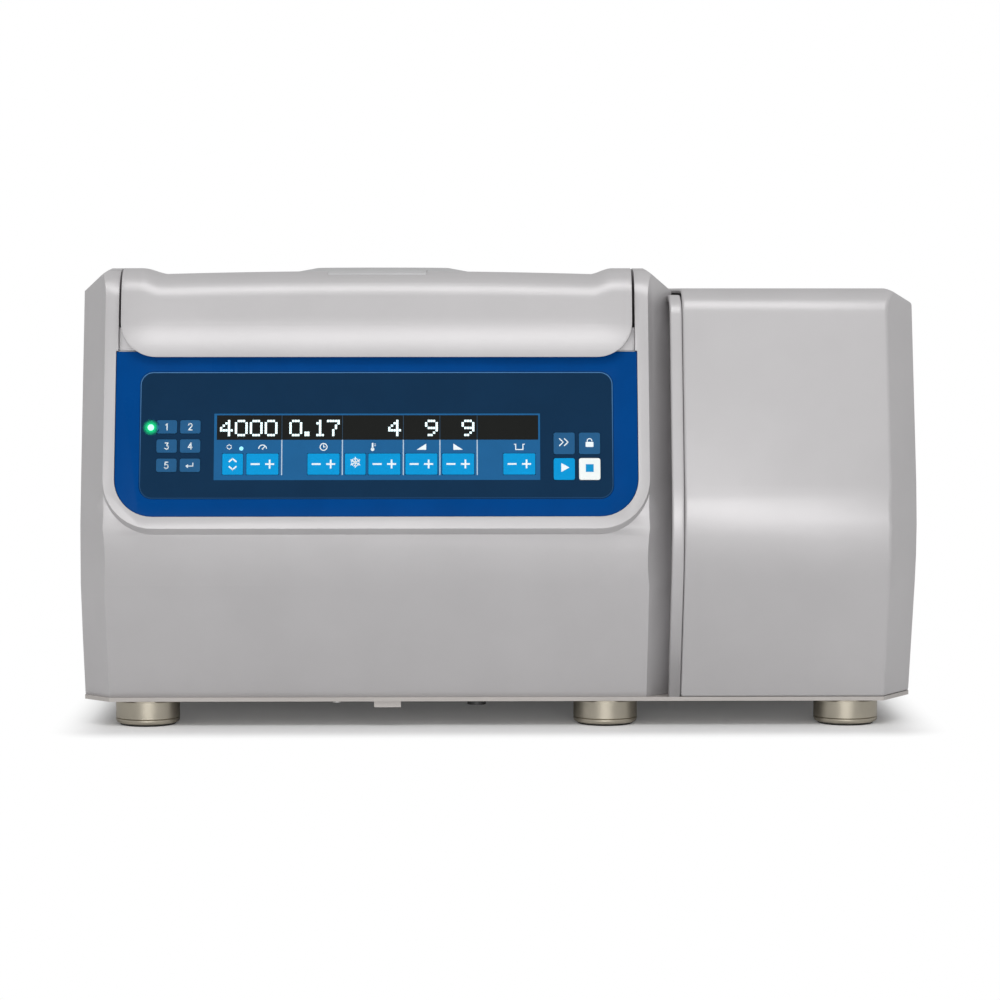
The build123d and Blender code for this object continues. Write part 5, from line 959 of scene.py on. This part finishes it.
def snowflake(radius, width):
    """Six arms with a small branch pair on each."""
    root_share, branch_share, swing, thinner = 0.5, 0.38, 0.8, 0.8
    shapes = []
    for turn in np.radians(np.arange(0, 180, 60) + 90):
        arm = arc(0, 0, radius, turn)
        shapes.append(stroke(-arm, arm, width))
    for turn in np.radians(np.arange(0, 360, 60) + 90):
        root = arc(0, 0, radius * root_share, turn)
        for lean in (turn - swing, turn + swing):
            shapes.append(stroke(root, arc(*root, radius * branch_share, lean), width * thinner))
    return shapes


def numeral(character):
    """A plain numeral: a line of even width with round joints."""
    line = NUMERAL_HEIGHT * NUMERAL_LINE
    points = (np.array(NUMERALS[character]) - 0.5) * (NUMERAL_HEIGHT * NUMERAL_SHAPE, NUMERAL_HEIGHT)
    shapes = [stroke(a, b, line) for a, b in zip(points[:-1], points[1:])]
    return shapes + [disc(u, v, line / 2, 12) for u, v in points]


def enter_mark():
    """Arrow to the left whose line turns up at its right end."""
    return [stroke((-1.8, -0.6), (2.2, -0.6), 0.6), stroke((2.2, -0.3), (2.2, 1.6), 0.6),
            np.array([(-1.4, 0.9), (-3.2, -0.6), (-1.4, -2.1)])]


def double_arrow():
    """Two open arrow heads that point to the right."""
    return [stroke((start - 1.6, side * 2.5), (start + 1.0, 0), 0.8)
            for start in (-1.7, 1.9) for side in (-1, 1)]


def open_lock():
    """Body of a padlock with its raised shackle."""
    return [rounded_bar(-2.9, 2.9, -3.0, 0.8, 0.5), ring(0, 1.6, 1.35, 2.0, -10, 190, 16),
            bar(-2.0, -1.35, 0.8, 1.5)]


def gauge():
    """Half-round scale with a needle on its pivot."""
    return [ring(0, -1.4, 2.5, 3.2, 0, 180, 20), stroke((0, -1.4), (1.8, 0.6), 0.6),
            disc(0, -1.4, 0.6, 14)]


def clock():
    """Round face with two hands."""
    return [ring(0, 0, 2.2, 2.9), stroke((0, -0.2), (0, 1.6), LABEL_LINE),
            stroke((-0.2, 0), (1.2, 0), LABEL_LINE)]


def thermometer():
    """Bulb, tube and two scale lines."""
    return [disc(0, -1.8, 1.35, 20), rounded_bar(-0.6, 0.6, -1.4, 3.0, 0.55),
            bar(1.3, 2.3, 1.9, 2.4), bar(1.3, 2.3, 0.6, 1.1)]


def ramp(peak):
    """Wedge with its upright side at one end, where peak is 1 for the right and -1 for the left."""
    return [np.array([(-3.5, -2.2), (3.5, -2.2), (3.5 * peak, 2.4)])]


def cup():
    """Open cup with a lip on each side."""
    return [bar(-3.0, 3.0, -2.4, -1.7), bar(-3.0, -2.3, -1.7, 2.2), bar(2.3, 3.0, -1.7, 2.2),
            bar(-4.0, -3.0, 1.6, 2.2), bar(3.0, 4.0, 1.6, 2.2)]


def label_marks():
    """Pictograms above the tiles, from left to right."""
    marks = (
        (up_and_down(gap=0.6, half=1.6, rise=1.2, width=LABEL_LINE), ARROWS_U),
        (gauge(), key_middle("speed_rocker")),
        (clock(), key_middle("time_rocker")),
        (thermometer(), THERMOMETER_U),
        (ramp(1), key_middle("acceleration_rocker")),
        (ramp(-1), key_middle("deceleration_rocker")),
        (cup(), CUP_U),
    )
    return [shape for shapes, u in marks for shape in moved(shapes, (u, LABEL_V))]


def key_prints():
    """Every key's own mark, as key name to outlines."""
    marks = {name: minus_plus() for name in TILES if "rocker" in name}
    marks.update({"program_key_" + number: numeral(number) for number in NUMERALS})
    marks.update({
        "program_enter_key": enter_mark(),
        "speed_mode_key": up_and_down(gap=2.0, half=2.4, rise=2.0, width=1.1),
        "precool_key": snowflake(radius=3.6, width=0.75),
        "pulse_key": double_arrow(),
        "lid_open_key": open_lock(),
        "start_key": [np.array([(-2.2, -3.3), (3.8, 0), (-2.2, 3.3)])],
        "stop_key": [bar(-STOP_HALF, STOP_HALF, -STOP_HALF, STOP_HALF)],
    })
    places = {name: (key_middle(name), MARK_V.get(name, TILE_MIDDLE)) for name in marks}
    return {name: moved(shapes, places[name]) for name, shapes in marks.items()}


# ---- Stage ----
def build_floor():
    """Square floor at table height: white round the object, and under it lit by the lamps plus a faint
    painted glow that lightens the shadow.
    """
    corners = np.array([(-1, -1, 0), (1, -1, 0), (1, 1, 0), (-1, 1, 0)], float) * FLOOR_REACH
    mesh = array_mesh("table_floor", corners, [(0, 1, 2, 3)])
    floor = scene_object("table_floor", mesh)
    mesh.materials.append(floor_finish())


def floor_finish():
    """Matt white under the object, where the camera also sees a faint painted glow that lightens the
    shadow, turning to plain white within SHADE_FADE outside its footprint.

    The distance outside the footprint is the length of what |x| and |y| have over its half sizes. Only
    the camera sees the plain white; light meets the matt white everywhere.
    """
    material, tree, shader = surface("white_table", {
        "Base Color": (0.8, 0.8, 0.8, 1.0), "Roughness": 0.9, "Specular IOR Level": 0.1,
    })
    size = node(tree, "VectorMath", {"operation": "ABSOLUTE"}, {0: object_place(tree)})
    outside = node(tree, "VectorMath", {"operation": "SUBTRACT", 1: FOOTPRINT}, {0: (size, "Vector")})
    clear = node(tree, "VectorMath", {"operation": "MAXIMUM", 1: (0.0, 0.0, 0.0)}, {0: (outside, "Vector")})
    reach = node(tree, "VectorMath", {"operation": "LENGTH"}, {0: (clear, "Vector")})
    away = remap(tree, (reach, "Value"), 0.0, SHADE_FADE, kind="SMOOTHSTEP")
    path = node(tree, "LightPath")
    white = node(tree, "Emission", {"Strength": 1.0})
    # Painted glow that lightens the shadow under the object, for the camera only.
    lift = node(tree, "Emission", {"Strength": SHADE_LIFT})
    shaded = node(tree, "AddShader", links={0: (shader, "BSDF"), 1: (lift, "Emission")})
    seen = node(tree, "MixShader", links={0: away, 1: (shaded, "Shader"), 2: (white, "Emission")})
    both = node(tree, "MixShader", links={
        0: (path, "Is Camera Ray"), 1: (shader, "BSDF"), 2: (seen, "Shader"),
    })
    wire(tree, (both, "Shader"), tree.nodes["Material Output"], "Surface")
    return material


def area_light(name, place, size, power):
    """Rectangular soft white light that faces LIGHT_TARGET."""
    light = bpy.data.lights.new(name, "AREA")
    light.shape = "RECTANGLE"
    light.size, light.size_y = size
    light.energy = power
    lamp = scene_object(name, light)
    lamp.location = place
    lamp.rotation_euler = (Vector(LIGHT_TARGET) - Vector(place)).to_track_quat("-Z", "Y").to_euler()


def build_world(scene, props):
    """White surroundings: plain white to the camera, softer light on the object."""
    world = bpy.data.worlds.new("white_surroundings")
    scene.world = world
    world.use_nodes = True
    tree = world.node_tree
    tree.nodes.clear()
    path = node(tree, "LightPath")
    seen = node(tree, "Background", {"Color": WHITE, "Strength": 1.0})
    lit = node(tree, "Background", {"Color": WHITE, "Strength": props.surround})
    mix = node(tree, "MixShader", links={
        0: (path, "Is Camera Ray"), 1: (lit, "Background"), 2: (seen, "Background"),
    })
    node(tree, "OutputWorld", links={"Surface": (mix, "Shader")})


def build_camera(scene):
    """Camera just below the lid's top, aimed slightly down and at the middle of the front."""
    data = bpy.data.cameras.new("front_camera")
    data.sensor_width = CAMERA_SENSOR
    data.lens = CAMERA_LENS
    data.clip_end = CAMERA_FAR
    camera = scene_object("front_camera", data)
    camera.location = CAMERA_PLACE
    camera.rotation_euler = (math.pi / 2 - CAMERA_PITCH, 0.0, -CAMERA_TURN)
    scene.camera = camera


# ---- Operators ----
class FinishesOperator(bpy.types.Operator):
    """Make every finish and give each CAD node the one its material slot names"""
    bl_idname = "centrifuge.finishes"
    bl_label = "Finishes"

    def execute(self, context):
        build_finishes()
        return {"FINISHED"}


class CasingOperator(bpy.types.Operator):
    """Round the arrises of the casings and of the panel frame, and roll the bulkhead's front edge"""
    bl_idname = "centrifuge.casings"
    bl_label = "Casings"

    def execute(self, context):
        rounded_cover("main_casing", casing_mesh())
        for name in ("cooling_casing", "bulkhead", "control_bezel"):
            rounded_cover(name, merged_form(name))
        bulkhead_bead()
        return {"FINISHED"}


class LidOperator(bpy.types.Operator):
    """Give the lid its smooth crowned form, and its viewing port a rounded edge"""
    bl_idname = "centrifuge.lid"
    bl_label = "Lid"

    def execute(self, context):
        cover_piece("lid_shell", lid_mesh(), "lid")
        rounded_cover("port_window", merged_form("port_window"))
        return {"FINISHED"}


class DisplayOperator(bpy.types.Operator):
    """Print the display with its digits, lines and pictograms, and light the lamps"""
    bl_idname = "centrifuge.display"
    bl_label = "Display"

    def execute(self, context):
        top = OVERLAY_FACE - PRINT_HEIGHT
        # Overlay's edge line, with its painted highlight.
        print_piece("overlay_edge", overlay_edge(), OVERLAY_FACE, "edge_highlight_paint")
        print_piece("display_field", display_field(), OVERLAY_FACE, "blue_ink")
        print_piece("display_window", [bar(*WINDOW)], OVERLAY_FACE, "display_glass")
        lines = separator_lines(TILE_LOW - SEPARATOR_DROP, WINDOW[2], SEPARATOR_HALF)
        print_piece("display_separators", lines, top, "line_ink")
        lines = separator_lines(WINDOW[2], WINDOW[3], WINDOW_LINE_HALF)
        print_piece("window_separators", lines, top, "window_line")
        dots = [shape for text, left in READOUT for shape in digit_dots(text, left)]
        print_piece("display_digits", dots, top, "display_dot")
        print_piece("label_marks", label_marks(), top, "white_ink")
        print_piece("speed_lamp", [disc(*SPEED_LAMP, SPEED_LAMP_RADIUS, 20)], top, "cyan_lamp")
        glow = [disc(*PROGRAM_LAMP, GLOW_RADIUS, 40)]
        print_piece("program_lamp_glow", glow, KEY_FACE, "green_glow", height=GLOW_HEIGHT)
        lamp = [disc(*PROGRAM_LAMP, PROGRAM_LAMP_RADIUS)]
        print_piece("program_lamp", lamp, KEY_FACE - GLOW_HEIGHT, "green_lamp")
        return {"FINISHED"}


class KeyMarksOperator(bpy.types.Operator):
    """Print the mark on every key"""
    bl_idname = "centrifuge.key_marks"
    bl_label = "Key Marks"

    def execute(self, context):
        for key, shapes in key_prints().items():
            finish = "cyan_ink" if key == "stop_key" else "white_ink"
            print_piece(key + "_mark", shapes, KEY_FACE, finish, key + "_body")
        return {"FINISHED"}


class StageOperator(bpy.types.Operator):
    """Set the pale floor, the soft lights, the white surroundings and the camera"""
    bl_idname = "centrifuge.stage"
    bl_label = "Stage"

    def execute(self, context):
        scene = context.scene
        props = scene.centrifuge_stage
        build_floor()
        area_light("front_softbox", *FRONT_SOFTBOX, props.front_power)
        area_light("high_softbox", *HIGH_SOFTBOX, props.high_power)
        build_world(scene, props)
        build_camera(scene)
        scene.view_settings.view_transform = "Standard"
        return {"FINISHED"}


# ---- Settings and panel ----
class FinishSettings(bpy.types.PropertyGroup):
    housing_colour: FloatVectorProperty(
        name="Housing colour", description="Silver lacquer of the covers", subtype="COLOR", size=3,
        default=linear("#c1bfc0")[:3], min=0.0, max=1.0,
    )


class StageSettings(bpy.types.PropertyGroup):
    front_power: FloatProperty(
        name="Front softbox", description="Power of the level softbox", subtype="POWER", unit="POWER",
        default=31.0, min=0.0,
    )
    high_power: FloatProperty(
        name="High softbox", description="Power of the raised softbox", subtype="POWER", unit="POWER",
        default=30.0, min=0.0,
    )
    surround: FloatProperty(
        name="Surround", description="Strength of the light from all round", default=0.58, min=0.0,
    )


class CentrifugePanel(bpy.types.Panel):
    """Lists the settings and the steps of the cytocentrifuge"""
    bl_idname = "VIEW3D_PT_cytocentrifuge"
    bl_label = "Cytocentrifuge"
    bl_space_type = "VIEW_3D"
    bl_region_type = "UI"
    bl_category = "Cytocentrifuge"

    def draw(self, context):
        layout = self.layout
        layout.prop(context.scene.centrifuge_finish, "housing_colour")
        for name in ("front_power", "high_power", "surround"):
            layout.prop(context.scene.centrifuge_stage, name)
        for operator in OPERATORS:
            layout.operator(operator.bl_idname)


OPERATORS = (
    FinishesOperator, CasingOperator, LidOperator, DisplayOperator, KeyMarksOperator, StageOperator,
)
CLASSES = (FinishSettings, StageSettings) + OPERATORS + (CentrifugePanel,)


def register():
    for each in CLASSES:
        bpy.utils.register_class(each)
    bpy.types.Scene.centrifuge_finish = PointerProperty(type=FinishSettings)
    bpy.types.Scene.centrifuge_stage = PointerProperty(type=StageSettings)


def unregister():
    del bpy.types.Scene.centrifuge_stage
    del bpy.types.Scene.centrifuge_finish
    for each in reversed(CLASSES):
        bpy.utils.unregister_class(each)


def main():
    register()
    bpy.ops.centrifuge.finishes()
    bpy.ops.centrifuge.casings()
    bpy.ops.centrifuge.lid()
    bpy.ops.centrifuge.display()
    bpy.ops.centrifuge.key_marks()
    bpy.ops.centrifuge.stage()


if __name__ == "__main__":
    main()
